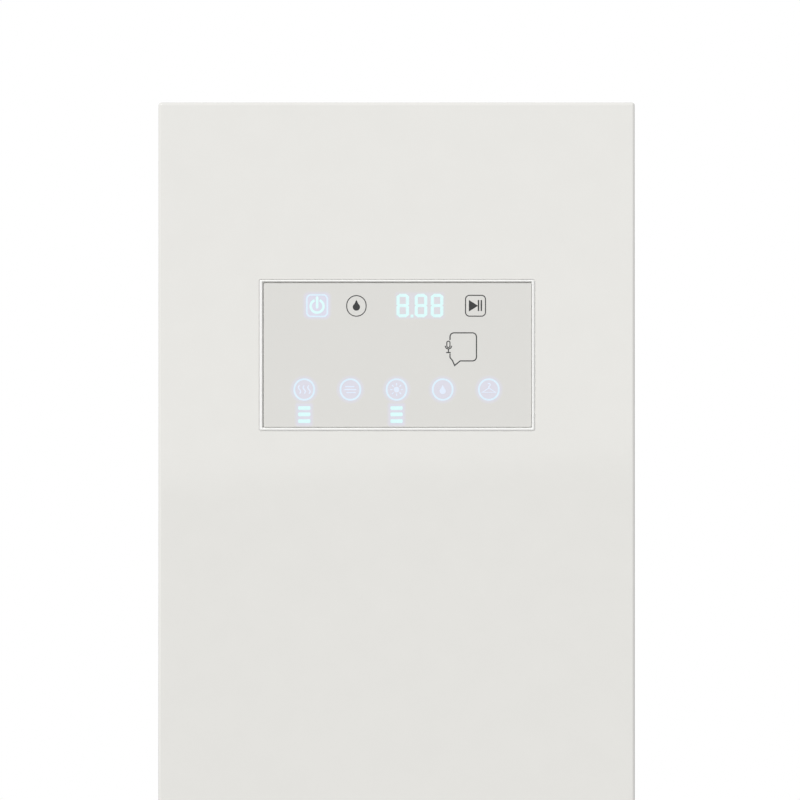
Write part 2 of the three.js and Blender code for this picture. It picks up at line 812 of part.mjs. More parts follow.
function chamberLiner() {
  const base = { x: [-linerX, linerX], z: [linerFloorZ, linerCeilingZ], radius: linerRadius };
  const outer = rounded(wider(base.x, linerWall), wider(base.z, linerWall), base.radius + linerWall);
  const inner = rounded(base.x, base.z, base.radius);
  const shell = cut(
    prism(outer, 'y', [sideFlangeY, chamberBackY + linerWall]),
    prism(inner, 'y', [sideFlangeY - overrun, chamberBackY]),
  );
  const flangeY = [sideFlangeY, sideFlangeY + linerWall];
  const flange = frameWall(base, linerWall + linerFlange, linerWall / 2, flangeY);
  const ledges = [-1, 1].map((side) =>
    block(
      ordered(side * (linerX + linerWall / 2), side * (linerX - ledgeDepth)),
      [ledgeFrontY, ledgeRearY],
      [ledgeZ - ledgeThickness, ledgeZ],
    ),
  );
  const floorHole = block(
    [-filterHalfWidth - fitGap, filterHalfWidth + fitGap],
    [filterFrontY - fitGap, filterRearY + fitGap],
    around(linerFloorZ, overrun),
  );
  const outletHole = block(
    [-outletHalfWidth, outletHalfWidth],
    around(chamberBackY, overrun),
    [outletBottomZ, outletTopZ],
  );
  const nozzleHole = round('z', nozzleX, nozzleY, nozzleStemRadius + fitGap, around(linerFloorZ, overrun));
  const lampHole = block(
    [-lampHalfWidth, lampHalfWidth],
    around(lampY, lampHalfDepth),
    around(linerCeilingZ, overrun),
  );
  const armHoles = armSlots(around(linerCeilingZ, overrun));
  const holes = [floorHole, outletHole, nozzleHole, lampHole, ...armHoles];
  return piece('chamber_liner', cut(join(shell, flange, ...ledges), ...holes), innerWhite);
}

function armSlots(along) {
  const halfLength = armHalfWidth + shakerStroke + armSlotRoom;
  const halfDepth = armHalfDepth + armSlotRoom;
  return [-1, 1].map((side) => {
    const x = around(side * armX, halfLength);
    return prism(rounded(x, around(shakerY, halfDepth), halfDepth * roundEndShare), 'z', along);
  });
}

function lintFilter() {
  const rimZ = [linerFloorZ + fitGap, linerFloorZ + fitGap + filterRimSheet];
  const rim = block(
    [-filterHalfWidth - filterRim, filterHalfWidth + filterRim],
    [filterFrontY - filterRim, filterRearY + filterRim],
    rimZ,
  );
  const basket = block(
    [-filterHalfWidth, filterHalfWidth],
    [filterFrontY, filterRearY],
    [rimZ[0] - filterDepth, rimZ[1]],
  );
  const hollow = block(
    [-filterHalfWidth + mouldedWall, filterHalfWidth - mouldedWall],
    [filterFrontY + mouldedWall, filterRearY - mouldedWall],
    [rimZ[0] - filterDepth - overrun, rimZ[0]],
  );
  const middleY = (filterFrontY + filterRearY) / 2;
  const slots = [];
  for (let y = filterFrontY + filterSlotPitch; y < filterRearY - filterSlotPitch / 2; y += filterSlotPitch) {
    if (Math.abs(y - middleY) > filterHandleThickness) {
      slots.push(
        block(
          [-filterHalfWidth + filterSlotPitch, filterHalfWidth - filterSlotPitch],
          around(y, filterSlotWidth / 2),
          wider(rimZ, overrun),
        ),
      );
    }
  }
  const handle = block(
    [-filterHandleHalfWidth, filterHandleHalfWidth],
    around(middleY, filterHandleThickness / 2),
    [rimZ[0], rimZ[1] + filterHandleHeight],
  );
  const fingerGap = block(
    around(0, filterHandleHalfWidth - filterHandleThickness),
    around(middleY, filterHandleThickness),
    [rimZ[1], rimZ[1] + filterHandleHeight - filterHandleThickness],
  );
  const body = cut(join(rim, basket), hollow, ...slots);
  return piece('lint_filter', join(body, cut(handle, fingerGap)), greyPlastic);
}

function garmentShelf() {
  const halfWidth = linerX - shelfClearance;
  const y = [ledgeFrontY, ledgeRearY];
  const z = [ledgeZ + fitGap, ledgeZ + fitGap + shelfThickness];
  const plate = prism(rounded([-halfWidth, halfWidth], y, shelfRim / 2), 'z', z);
  const inner = halfWidth - shelfRim;
  const gapWidth = shelfBarPitch - shelfBarWidth;
  const gaps = Math.floor((2 * inner + shelfBarWidth) / shelfBarPitch);
  const firstX = (-gaps * shelfBarPitch + shelfBarWidth) / 2;
  const openings = Array.from({ length: gaps }, (_, gap) => {
    const x = firstX + gap * shelfBarPitch;
    return block([x, x + gapWidth], wider(y, -shelfRim), wider(z, overrun));
  });
  return piece('garment_shelf', cut(plate, ...openings), whitePlastic);
}

function chamberLamp() {
  const flange = block(
    around(0, lampHalfWidth + lampFlange),
    around(lampY, lampHalfDepth + lampFlange),
    [linerCeilingZ - fitGap - lampSheet, linerCeilingZ - fitGap],
  );
  const body = block(
    around(0, lampHalfWidth - fitGap),
    around(lampY, lampHalfDepth - fitGap),
    [linerCeilingZ - fitGap - lampSheet, linerCeilingZ + lampBodyHeight],
  );
  return piece('chamber_lamp', join(flange, body), clearPlastic);
}

function airOutletGrille() {
  const halfWidth = outletHalfWidth - fitGap;
  const z = [outletBottomZ + fitGap, outletTopZ - fitGap];
  const faceY = chamberBackY - fitGap;
  const rim = block(
    around(0, outletHalfWidth + grilleFlange),
    [faceY - grilleSheet, faceY],
    [outletBottomZ - grilleFlange, outletTopZ + grilleFlange],
  );
  const body = block([-halfWidth, halfWidth], [faceY - grilleSheet, chamberBackY + linerWall], z);
  const inside = block(
    around(0, halfWidth - mouldedWall),
    [faceY - grilleSheet - overrun, chamberBackY + linerWall + overrun],
    wider(z, -mouldedWall),
  );
  const depth = chamberBackY + linerWall - faceY + grilleSheet;
  const slats = [];
  for (let low = z[0] + slatPitch / 2; low + slatPitch / 2 + slatSheet < z[1]; low += slatPitch) {
    const outline = polygon([
      [faceY - grilleSheet, low],
      [faceY - grilleSheet + depth, low + depth],
      [faceY - grilleSheet + depth, low + depth + slatSheet],
      [faceY - grilleSheet, low + slatSheet],
    ]);
    slats.push(prism(outline, 'x', around(0, halfWidth - mouldedWall / 2)));
  }
  return piece('air_outlet_grille', join(cut(join(rim, body), inside), ...slats), whitePlastic);
}

// Door

const panelOutline = {
  x: [-panelWidth / 2, panelWidth / 2],
  z: [panelZ - panelHeight / 2, panelZ + panelHeight / 2],
  radius: panelCornerRadius,
};

const doorEnds = {
  top: { z: cabinetHeight, inward: -1 },
  bottom: { z: doorBottomZ, inward: 1 },
};

// Heights measured from an end face of the door towards its middle.
const inwardZ = (end, near, far) => ordered(end.z + end.inward * near, end.z + end.inward * far);

const recessX = [-sideX - overrun, hingeX + hingeArmHalfWidth + recessSideRoom];
const recessFrontY = hingeY - recessReach;

function doorSkin() {
  const z = [doorBottomZ, cabinetHeight];
  const outside = roundedSlab([-sideX, sideX], [doorFaceY, doorRearY + doorEdgeRadius], z, doorEdgeRadius);
  const rearTrim = block(around(0, sideX + overrun), [doorRearY, doorRearY + 2 * overrun], wider(z, overrun));
  const inside = block(
    [-sideInnerX, sideInnerX],
    [doorFaceY + steelSheet, doorRearY + overrun],
    wider(z, -steelSheet),
  );
  const window = prism(
    rounded(wider(panelOutline.x, fitGap), wider(panelOutline.z, fitGap), panelOutline.radius + fitGap),
    'y',
    around(doorFaceY, overrun),
  );
  const recesses = Object.values(doorEnds).map((end) =>
    block(recessX, [recessFrontY, doorRearY + overrun], inwardZ(end, -overrun, recessDepth)),
  );
  const gripHole = prism(gripOutline(0), 'x', around(sideX, overrun));
  return piece('door_skin', cut(outside, rearTrim, inside, window, ...recesses, gripHole), paintedSteel);
}

function doorLiner() {
  const halfWidth = sideInnerX - fitGap;
  const z = wider([doorBottomZ, cabinetHeight], -steelSheet - fitGap);
  const plate = block([-halfWidth, halfWidth], [doorRearY - doorLinerSheet, doorRearY], z);
  const margin = gasketMargin - doorFieldMargin;
  const fieldX = wider(chamberOpening.x, margin);
  const fieldZ = wider(chamberOpening.z, margin);
  const frontY = doorRearY - doorLinerSheet;
  const fieldRearY = doorRearY + doorFieldRise;
  const field = prism(rounded(fieldX, fieldZ, openingRadius), 'y', [frontY, fieldRearY]);
  const hollow = prism(
    rounded(wider(fieldX, -doorLinerSheet), wider(fieldZ, -doorLinerSheet), openingRadius - doorLinerSheet),
    'y',
    [frontY - overrun, fieldRearY - doorLinerSheet],
  );
  const notches = Object.values(doorEnds).map((end) =>
    block(recessX, around(doorRearY, overrun + doorLinerSheet), inwardZ(end, -overrun, recessDepth)),
  );
  return piece('door_liner', cut(join(plate, field), hollow, ...notches), innerWhite);
}

function doorGasket() {
  const outer = gasketMargin + gasketWidth;
  const baseY = doorRearY + fitGap;
  const base = frameWall(chamberOpening, outer, gasketMargin, [baseY, baseY + gasketBaseThickness]);
  const lip = frameWall(chamberOpening, outer - gasketNeckInset, gasketMargin + gasketNeckInset, [
    baseY,
    cabinetFrontY - fitGap,
  ]);
  return piece('door_gasket', join(base, lip), greyRubber);
}

function gripOutline(inset) {
  const y = around(doorFaceY + gripSetback, gripWidth / 2 - inset);
  const z = around(gripCentreZ, gripHeight / 2 - inset);
  return rounded(y, z, gripCornerRadius - inset);
}

function doorGrip() {
  const cup = prism(gripOutline(fitGap), 'x', [sideX - gripDepth, sideX]);
  const flangeX = sideInnerX - fitGap;
  const flange = prism(gripOutline(-gripFlange), 'x', [flangeX - mouldedWall, flangeX]);
  const hollowX = [sideX - gripDepth + mouldedWall, sideX + overrun];
  const hollow = prism(gripOutline(fitGap + mouldedWall), 'x', hollowX);
  return piece('door_grip', cut(join(cup, flange), hollow), greyPlastic);
}

function hingeBlock(name, end) {
  const wallZ = inwardZ(end, steelSheet + fitGap, recessDepth + hingeBlockDepth);
  const baseZ = inwardZ(end, recessDepth + fitGap, recessDepth + hingeBlockDepth);
  const x = [-sideInnerX + fitGap, recessX[1] + mouldedWall];
  const y = [doorFaceY + steelSheet + fitGap, doorRearY - doorLinerSheet - fitGap];
  const base = block(x, y, baseZ);
  const frontWall = block(x, [recessFrontY - mouldedWall, recessFrontY], wallZ);
  const sideWall = block([recessX[1], x[1]], [recessFrontY - mouldedWall, y[1]], wallZ);
  const boreDepth = hingeArmDrop + hingePlate + hingePinReach + mouldedWall;
  const bore = round('z', hingeX, hingeY, hingePinRadius + fitGap, inwardZ(end, 0, boreDepth));
  return piece(name, cut(join(base, frontWall, sideWall), bore), darkPlastic);
}

function hingeBracket(name, end) {
  const armX = around(hingeX, hingeArmHalfWidth);
  const armZ = inwardZ(end, hingeArmDrop, hingeArmDrop + hingePlate);
  const leafY = [cabinetFrontY - fitGap - hingePlate, cabinetFrontY - fitGap];
  const arm = block(armX, [hingeY, leafY[1]], armZ);
  const leaf = block(armX, leafY, inwardZ(end, hingeArmDrop, hingeArmDrop + hingeLeafHeight));
  const nose = round('z', hingeX, hingeY, hingeArmHalfWidth, armZ);
  const washer = round(
    'z',
    hingeX,
    hingeY,
    hingeWasherRadius,
    inwardZ(end, hingeArmDrop + hingePlate / 2, recessDepth),
  );
  const pin = round(
    'z',
    hingeX,
    hingeY,
    hingePinRadius,
    inwardZ(end, hingeArmDrop + hingePlate / 2, hingeArmDrop + hingePlate + hingePinReach),
  );
  return piece(name, join(arm, leaf, nose, washer, pin), stainless);
}

// Control panel in the door

const touchOutline = {
  x: wider(panelOutline.x, -bezelRim - bezelGroove),
  z: wider(panelOutline.z, -bezelRim - bezelGroove),
};
const touchRearY = doorFaceY + touchPanelSheet;
const ledgeY = touchRearY + fitGap;
const bezelRearY = ledgeY + bezelFlangeSheet;

function panelBezel() {
  const rim = frameWall(panelOutline, 0, -bezelRim, [frontY, bezelRearY]);
  const flangeY = doorFaceY + steelSheet + fitGap;
  const flange = frameWall(panelOutline, bezelFlange, -bezelRim, [flangeY, bezelRearY]);
  const ledge = frameWall(panelOutline, 0, -bezelRim - bezelGroove - bezelLedge, [ledgeY, bezelRearY]);
  return piece('panel_bezel', join(rim, flange, ledge), bezelSatin);
}

function touchPanel() {
  const shape = rounded(touchOutline.x, touchOutline.z, panelCornerRadius);
  return piece('touch_panel', prism(shape, 'y', [doorFaceY, touchRearY]), touchSurface);
}

const carrierInset = bezelRim + bezelGroove + bezelLedge + carrierMargin;
const carrierFrontY = bezelRearY + fitGap;
const boardY = [touchRearY + boardSetback, touchRearY + boardSetback + boardSheet];

function boardCarrier() {
  const trayX = wider(panelOutline.x, -carrierInset);
  const trayZ = wider(panelOutline.z, -carrierInset);
  const rearY = carrierFrontY + carrierDepth;
  const wall = mouldedWall;
  const flange = frameWall(panelOutline, 0, -carrierInset - wall, [carrierFrontY, carrierFrontY + wall]);
  const tray = cut(
    block(trayX, [carrierFrontY, rearY], trayZ),
    block(wider(trayX, -wall), [carrierFrontY - overrun, rearY - wall], wider(trayZ, -wall)),
  );
  const postY = [boardY[1] + fitGap, rearY - wall / 2];
  const posts = [];
  for (const x of wider(trayX, -boardPostInset)) {
    for (const z of wider(trayZ, -boardPostInset)) {
      posts.push(round('y', x, z, boardPostRadius, postY, coarseSides));
    }
  }
  return piece('board_carrier', join(flange, tray, ...posts), darkPlastic);
}

function displayBoard() {
  const inset = carrierInset + mouldedWall + fitGap;
  const board = block(wider(panelOutline.x, -inset), boardY, wider(panelOutline.z, -inset));
  const guideY = [touchRearY + fitGap, boardY[0] + boardSheet / 2];
  const digits = block(
    around(digitBlockX, digitBlockWidth / 2),
    guideY,
    around(panelZ + upperRowRise, digitBlockHeight / 2),
  );
  const guideBore = keyGuideRadius - keyGuideWall;
  const guides = [-2, -1, 0, 1, 2].map((place) =>
    ring('y', place * keyPitch, panelZ - keyRowDrop, keyGuideRadius, guideBore, guideY, coarseSides),
  );
  for (const x of [powerKeyX, pauseKeyX]) {
    guides.push(block(around(x, keyGuideRadius), guideY, around(panelZ + upperRowRise, keyGuideRadius)));
  }
  return piece('display_board', join(board, digits, ...guides), circuitGreen);
}

// Water tanks

function tankBay() {
  const y = [sideFlangeY, bayRearY];
  const outside = block([-bayX, bayX], y, [machineZ, bayTopZ]);
  const wall = mouldedWall;
  const cells = [-1, 1].map((side) =>
    block(
      ordered((side * wall) / 2, side * (bayX - wall)),
      [y[0] - overrun, y[1] - wall],
      [railTopZ, bayTopZ - wall],
    ),
  );
  const under = block(
    [-bayX + wall, bayX - wall],
    [y[0] - overrun, y[1] - wall],
    [machineZ - overrun, railTopZ - wall],
  );
  const skirt = block(
    [-bayX - overrun, bayX + overrun],
    [y[0] - overrun, y[0] + baySkirtSetback],
    [machineZ - overrun, railTopZ - wall],
  );
  const spigotHole = round('y', -neckX, spigotZ, spigotRadius + wall, around(y[1], overrun), coarseSides);
  const drainHole = round('z', drainX, drainY, drainRadius + wall, around(bayTopZ, overrun), coarseSides);
  return piece('tank_bay', cut(outside, ...cells, under, skirt, spigotHole, drainHole), galvanised);
}

function waterTank(name, side) {
  const x = ordered(side * tankInnerX, side * tankOuterX);
  const y = [tankNoseY, tankRearY];
  const z = [tankBottomZ, tankTopZ];
  const body = prism(rounded(x, z, tankRadius), 'y', y);
  const inner = prism(
    rounded(wider(x, -tankWall), wider(z, -tankWall), tankRadius - tankWall),
    'y',
    wider(y, -tankWall),
  );
  const centreX = side * neckX;
  const neck = round('z', centreX, neckY, neckRadius, [tankTopZ - tankWall / 2, neckTopZ]);
  const bore = round('z', centreX, neckY, neckBore, [tankTopZ - tankWall * 2, neckTopZ + overrun]);
  const tank = cut(join(cut(body, inner), neck), bore);
  if (side > 0) {
    const inlet = round('z', drainX, drainY, drainRadius * 2, around(tankTopZ, tankWall * 2));
    return piece(name, cut(tank, inlet), clearPlastic);
  }
  const spigotEndY = tankRearY + spigotReach;
  const spigotY = [tankRearY - tankWall / 2, spigotEndY];
  const passageY = [tankRearY - tankWall * 2, spigotEndY + overrun];
  const spigot = round('y', centreX, spigotZ, spigotRadius, spigotY, coarseSides);
  const passage = round('y', centreX, spigotZ, spigotBore, passageY, coarseSides);
  return piece(name, cut(join(tank, spigot), passage), clearPlastic);
}

function tankCap(name, side) {
  const z = [tankTopZ + mouldedWall, neckTopZ + capHeight / 2];
  const skirt = round('z', 0, 0, capRadius, z);
  const hollow = round('z', 0, 0, neckRadius + fitGap, [z[0] - overrun, neckTopZ + fitGap]);
  const handleZ = [z[1] - mouldedWall / 2, z[1] + capGripHeight];
  const handle = block(around(0, capRadius * capGripShare), around(0, capGripHalfWidth), handleZ);
  const cap = piece(name, join(cut(skirt, hollow), handle), darkPlastic);
  cap.position.set(side * neckX, neckY, 0);
  return cap;
}

function tankFront(name, side) {
  const x = ordered((side * tankFrontGap) / 2, side * sideX);
  const y = [doorFaceY, cabinetFrontY - tankFrontClearance];
  const z = [tankFrontBottomZ, doorBottomZ - tankFrontGap];
  const wallRearY = tankNoseY - fitGap;
  const wall = mouldedWall;
  const outside = roundedSlab(x, [y[0], y[1] + doorEdgeRadius], z, doorEdgeRadius);
  const rearTrim = block(wider(x, overrun), [y[1], y[1] + 2 * overrun], wider(z, overrun));
  const rearHollow = block(wider(x, -wall), [wallRearY, y[1] + overrun], wider(z, -wall));
  const frontHollow = block(wider(x, -wall), [y[0] + wall, wallRearY - wall], wider(z, -wall));
  const pullX = around(side * neckX, pullWidth / 2);
  const pullY = [y[0] + pullSetback, y[0] + pullSetback + pullDepth];
  const pullBox = block(wider(pullX, wall), wider(pullY, wall), [z[0], z[0] + pullHeight + wall]);
  const pullHole = block(pullX, pullY, [z[0] - overrun, z[0] + pullHeight]);
  const shell = join(cut(outside, rearTrim, rearHollow, frontHollow), pullBox);
  const windowZ = around((tankBottomZ + tankTopZ) / 2, (tankTopZ - tankBottomZ) / 4);
  const windows = [-1, 1].map((half) => {
    const windowX = around(side * neckX + (half * pullWidth) / 2, pullWidth / 4);
    return block(windowX, around(wallRearY, wall + fitGap), windowZ);
  });
  return piece(name, cut(shell, pullHole, ...windows), paintedSteel);
}

// Air path and heat pump

function airDuct() {
  const wall = mouldedWall;
  const outside = block(around(0, ductHalfWidth), [ductFrontY, ductRearY], [ductBottomZ, ductTopZ]);
  const inside = block(
    around(0, ductHalfWidth - wall),
    [ductFrontY + wall, ductRearY - wall],
    [ductBottomZ + wall, ductTopZ + overrun],
  );
  const fanHole = round('y', 0, fanZ, scrollInletRadius, around(ductRearY, overrun));
  const spoutZ = [ductBottomZ - drainLength, ductBottomZ + wall];
  const spout = round('z', drainX, drainY, drainRadius, spoutZ, coarseSides);
  const drain = round('z', drainX, drainY, drainBore, wider(spoutZ, overrun), coarseSides);
  return piece('air_duct', cut(join(cut(outside, inside, fanHole), spout), drain), greyPlastic);
}

// A coil is a comb of aluminium fins on both faces of its block, with the copper tube's bends at its ends.
function finnedCoil(name, centreY) {
  const bottomZ = ductBottomZ + mouldedWall + fitGap;
  const coreHalf = coilDepth / 2 - finDepth;
  const front = [];
  const rear = [];
  for (let x = -coilHalfWidth; x < coilHalfWidth - finPitch / 2; x += finPitch) {
    front.push([x, -coilDepth / 2], [x + finThickness, -coilDepth / 2]);
    front.push([x + finThickness, -coreHalf], [x + finPitch, -coreHalf]);
    rear.unshift([x + finThickness, coilDepth / 2], [x, coilDepth / 2]);
    rear.unshift([x + finPitch, coreHalf], [x + finThickness, coreHalf]);
  }
  const outline = [...front, ...rear].map(([x, y]) => [x, y + centreY]);
  const fins = prism(polygon(outline), 'z', [bottomZ, bottomZ + coilHeight]);
  const rowPitch = coilHeight / coilTubeRows;
  const bends = [];
  for (let row = 0; row < coilTubeRows - 1; row += 1) {
    const side = row % 2 ? -1 : 1;
    const low = bottomZ + rowPitch * (row + 0.5);
    const start = side * (coilHalfWidth - finPitch - finThickness);
    const points = Array.from({ length: coilBendSteps + 1 }, (_, step) => {
      const angle = (Math.PI * step) / coilBendSteps;
      const x = side * (coilHalfWidth - finPitch + coilBendReach * Math.sin(angle));
      return [x, centreY, low + (rowPitch * (1 - Math.cos(angle))) / 2];
    });
    points.unshift([start, centreY, low]);
    points.push([start, centreY, low + rowPitch]);
    bends.push(alongCurve(points, coilTubeRadius, 0, points.length, coilTubeSides));
  }
  return piece(name, join(fins, ...bends), aluminiumFin);
}

function scrollOutline(inset) {
  const points = [];
  for (let step = 0; step <= scrollSteps; step += 1) {
    const turn = step / scrollSteps;
    const angle = -scrollSweep * turn;
    const radius = scrollStartRadius + scrollGrowth * turn - inset;
    points.push([radius * Math.cos(angle), fanZ + radius * Math.sin(angle)]);
  }
  return points;
}

function fanScroll() {
  const wall = mouldedWall;
  const y = [scrollFrontY, scrollRearY];
  const throatX = [-scrollStartRadius - scrollGrowth, scrollStartRadius];
  const throatZ = [ductTopZ - transitionHeight, ductTopZ];
  const throatInnerX = wider(throatX, -wall);
  const outer = join(
    prism(polygon(scrollOutline(0)), 'y', y),
    block(throatX, y, [fanZ, ductTopZ]),
  );
  const inner = join(
    prism(polygon(scrollOutline(wall)), 'y', wider(y, -wall)),
    block(throatInnerX, wider(y, -wall), [fanZ, ductTopZ - wall]),
  );
  const throat = block(throatX, [scrollFrontY, riserRearY], throatZ);
  const throatInside = block(throatInnerX, [scrollFrontY + wall, riserRearY - wall], wider(throatZ, -wall));
  const riserX = [-riserHalfWidth, riserHalfWidth];
  const riserZ = [ductTopZ - wall, riserTopZ];
  const riser = block(riserX, [riserFrontY, riserRearY], riserZ);
  const riserInnerY = [riserFrontY + wall, riserRearY - wall];
  const riserInside = block(wider(riserX, -wall), riserInnerY, wider(riserZ, -wall));
  const joint = block(throatInnerX, riserInnerY, around(ductTopZ, 2 * wall));
  const window = block(
    around(0, outletHalfWidth + fitGap),
    around(riserFrontY, wall + fitGap),
    [outletBottomZ - fitGap, outletTopZ + fitGap],
  );
  const inlet = round('y', 0, fanZ, scrollInletRadius, around(scrollFrontY, wall + fitGap));
  const shaftHole = round('y', 0, fanZ, fanHubRadius + fitGap, around(scrollRearY, wall + fitGap));
  const hollows = [inner, throatInside, riserInside, joint, window, inlet, shaftHole];
  return piece('fan_scroll', cut(join(outer, throat, riser), ...hollows), greyPlastic);
}

// Forward-curved blades between a back plate and a front ring, on a hub that runs on the motor's shaft.
function fanWheel() {
  const rearY = scrollRearY - mouldedWall - fanRunGap;
  const y = [rearY - fanWidth, rearY];
  const inner = fanRadius - fanBladeDepth;
  const frontFace = fanBladeShares.map((share) => {
    const angle = fanBladeLead * Math.sin((share * Math.PI) / 2);
    const radius = inner - fanPlate / 2 + (fanBladeDepth + fanPlate / 2) * share;
    return [radius * Math.cos(angle), radius * Math.sin(angle)];
  });
  const rearFace = frontFace.map(([u, v]) => [u, v + fanBladeSheet]);
  const blade = [...frontFace, ...rearFace.reverse()];
  const blades = Array.from({ length: fanBlades }, (_, i) => {
    const turn = (2 * Math.PI * i) / fanBlades;
    const turnedBlade = blade.map(([u, v]) => [
      u * Math.cos(turn) - v * Math.sin(turn),
      u * Math.sin(turn) + v * Math.cos(turn),
    ]);
    return prism(polygon(turnedBlade), 'y', [y[0] + fanPlate / 2, y[1] - fanPlate / 2]);
  });
  const plate = round('y', 0, 0, fanRadius + fanBladeSheet, [y[1] - fanPlate, y[1]]);
  const rim = ring('y', 0, 0, fanRadius + fanBladeSheet, inner, [y[0], y[0] + fanPlate]);
  const hub = round('y', 0, 0, fanHubRadius, [y[1] - fanHubLength, y[1]], coarseSides);
  const shaft = round('y', 0, 0, fanShaftRadius, [y[1] - fanPlate, scrollRearY + fanMotorBore], coarseSides);
  const wheel = piece('fan_wheel', join(plate, rim, hub, shaft, ...blades), greyPlastic);
  wheel.position.set(0, 0, fanZ);
  return wheel;
}

function fanMotor() {
  const y = [scrollRearY + fitGap, scrollRearY + fitGap + fanMotorLength];
  const body = round('y', 0, fanZ, fanMotorRadius, y);
  const boreY = [y[0] - overrun, y[0] + fanMotorBore + fitGap];
  const bore = round('y', 0, fanZ, fanShaftRadius + fitGap, boreY, coarseSides);
  return piece('fan_motor', cut(body, bore), galvanised);
}

function compressor() {
  const shoulder = compressorRadius * compressorShoulderShare;
  const seam = [compressorSeamZ - compressorSeamWidth, compressorSeamZ + compressorSeamWidth];
  const dome = compressorDomeShares.map(([out, down]) => {
    return [compressorRadius * out, compressorTopZ - shoulder * down];
  });
  const profile = [
    [0, machineZ],
    [compressorFootRadius, machineZ],
    [compressorFootRadius, machineZ + compressorFootHeight],
    [compressorRadius - shoulder, machineZ + compressorFootHeight],
    [compressorRadius, machineZ + compressorFootHeight + shoulder],
    [compressorRadius, seam[0]],
    [compressorRadius + compressorSeamWidth, seam[0]],
    [compressorRadius + compressorSeamWidth, seam[1]],
    [compressorRadius, seam[1]],
    ...dome,
    [0, compressorTopZ],
  ];
  return piece('compressor', turned(profile, compressorX, compressorY), compressorBlack);
}

const pipeFaceX = ductHalfWidth + fitGap;

function dischargePipe() {
  const start = [compressorX + compressorRadius + fitGap, compressorY, dischargePortZ];
  const end = [pipeFaceX, condenserY, dischargeTopZ];
  const reach = [dischargeSwing, end[1] - start[1], end[2] - start[2]];
  const lead = [end[0] + pipeLead, end[1], end[2]];
  const points = [start, ...routePoints(start, reach, dischargeRouteShares), lead, end];
  return piece('discharge_pipe', alongCurve(points, pipeRadius, 0, pipeSteps, pipeSides), copper);
}

function suctionPipe() {
  const start = [compressorX, compressorY - compressorRadius - fitGap, suctionPortZ];
  const end = [pipeFaceX, evaporatorY, suctionTopZ];
  const reach = [suctionSwing, end[1] - start[1], end[2] - start[2]];
  const lead = [end[0] + pipeLead, end[1], end[2]];
  const points = [start, ...routePoints(start, reach, suctionRouteShares), lead, end];
  return piece('suction_pipe', alongCurve(points, pipeRadius, 0, pipeSteps, pipeSides), copper);
}

// Steam and water

function steamGenerator() {
  const x = around(generatorX, generatorWidth / 2);
  const y = around(generatorY, generatorDepth / 2);
  const body = prism(rounded(x, y, generatorRadius), 'z', [machineZ, generatorTopZ]);
  const outletZ = around(generatorTopZ, portLength);
  const outlet = round('z', nozzleX, generatorY, portRadius, outletZ, coarseSides);
  const inlet = round('y', generatorX, generatorInletZ, portRadius, around(y[0], portLength), coarseSides);
  return piece('steam_generator', join(body, outlet, inlet), stainless);
}

function steamHose() {
  const start = [nozzleX, generatorY, generatorTopZ + portLength + fitGap];
  const end = [nozzleX, nozzleY, linerFloorZ - linerWall - nozzleStemLength - fitGap];
  const reach = [0, end[1] - start[1], end[2] - start[2]];
  const points = [start, ...routePoints(start, reach, steamRouteShares), end];
  const hose = alongCurve(points, hoseRadius, hoseRadius - hoseWall, hoseSteps, hoseSides);
  return piece('steam_hose', hose, hoseSilicone);
}

function steamNozzle() {
  const bottom = linerFloorZ - linerWall - nozzleStemLength;
  const seat = linerFloorZ + fitGap;
  const dome = nozzleDomeShares.map(([out, up]) => [nozzleFlangeRadius * out, seat + nozzleDomeHeight * up]);
  const profile = [
    [nozzleBore, bottom],
    [nozzleStemRadius, bottom],
    [nozzleStemRadius, seat],
    ...dome,
    [nozzleBore, seat + nozzleDomeHeight],
    [nozzleBore, bottom],
  ];
  return piece('steam_nozzle', turned(profile, nozzleX, nozzleY), whitePlastic);
}

function feedPump() {
  const bodyY = [pumpInletY + pumpNoseLength, pumpInletY + pumpNoseLength + pumpLength];
  const body = round('y', pumpX, spigotZ, pumpRadius, bodyY);
  const nose = round('y', pumpX, spigotZ, portRadius, [pumpInletY, bodyY[0] + overrun], coarseSides);
  const stand = block(around(pumpX, pumpFootHalfWidth), wider(bodyY, -overrun), [machineZ, spigotZ]);
  const outletZ = [spigotZ, spigotZ + pumpRadius + portLength];
  const outlet = round('z', pumpX, bodyY[0] + pumpRadius, portRadius, outletZ, coarseSides);
  return piece('feed_pump', join(body, nose, stand, outlet), darkPlastic);
}

function feedHose() {
  const startY = pumpInletY + pumpNoseLength + pumpRadius;
  const start = [pumpX, startY, spigotZ + pumpRadius + portLength + fitGap];
  const end = [generatorX, generatorY - generatorDepth / 2 - portLength - fitGap, generatorInletZ];
  const reach = [end[0] - start[0], end[1] - start[1], feedHoseRise];
  const lead = [end[0], end[1] - pipeLead, end[2]];
  const points = [start, ...routePoints(start, reach, feedRouteShares), lead, end];
  const hose = alongCurve(points, portRadius, portRadius - hoseWall, hoseSteps, hoseSides);
  return piece('feed_hose', hose, hoseSilicone);
}

// Electronics and mains

function controlBoard() {
  const wallX = -sideInnerX + fitGap;
  const y = [controlFrontY, controlFrontY + controlLength];
  const z = [controlBottomZ, controlBottomZ + controlHeight];
  const boardX = [wallX + controlStandoff, wallX + controlStandoff + boardSheet];
  const board = block(boardX, y, z);
  const postX = [wallX, boardX[0] + boardSheet / 2];
  const posts = [];
  for (const py of wider(y, -controlStandoffRadius * 2)) {
    for (const pz of wider(z, -controlStandoffRadius * 2)) {
      posts.push(round('x', py, pz, controlStandoffRadius, postX, coarseSides));
    }
  }
  const components = componentShares.map((share) =>
    block(
      [boardX[0] + boardSheet / 2, boardX[1] + controlStandoff * share.height],
      share.y.map((part) => y[0] + part * controlLength),
      share.z.map((part) => z[0] + part * controlHeight),
    ),
  );
  return piece('control_board', join(board, ...posts, ...components), circuitGreen);
}

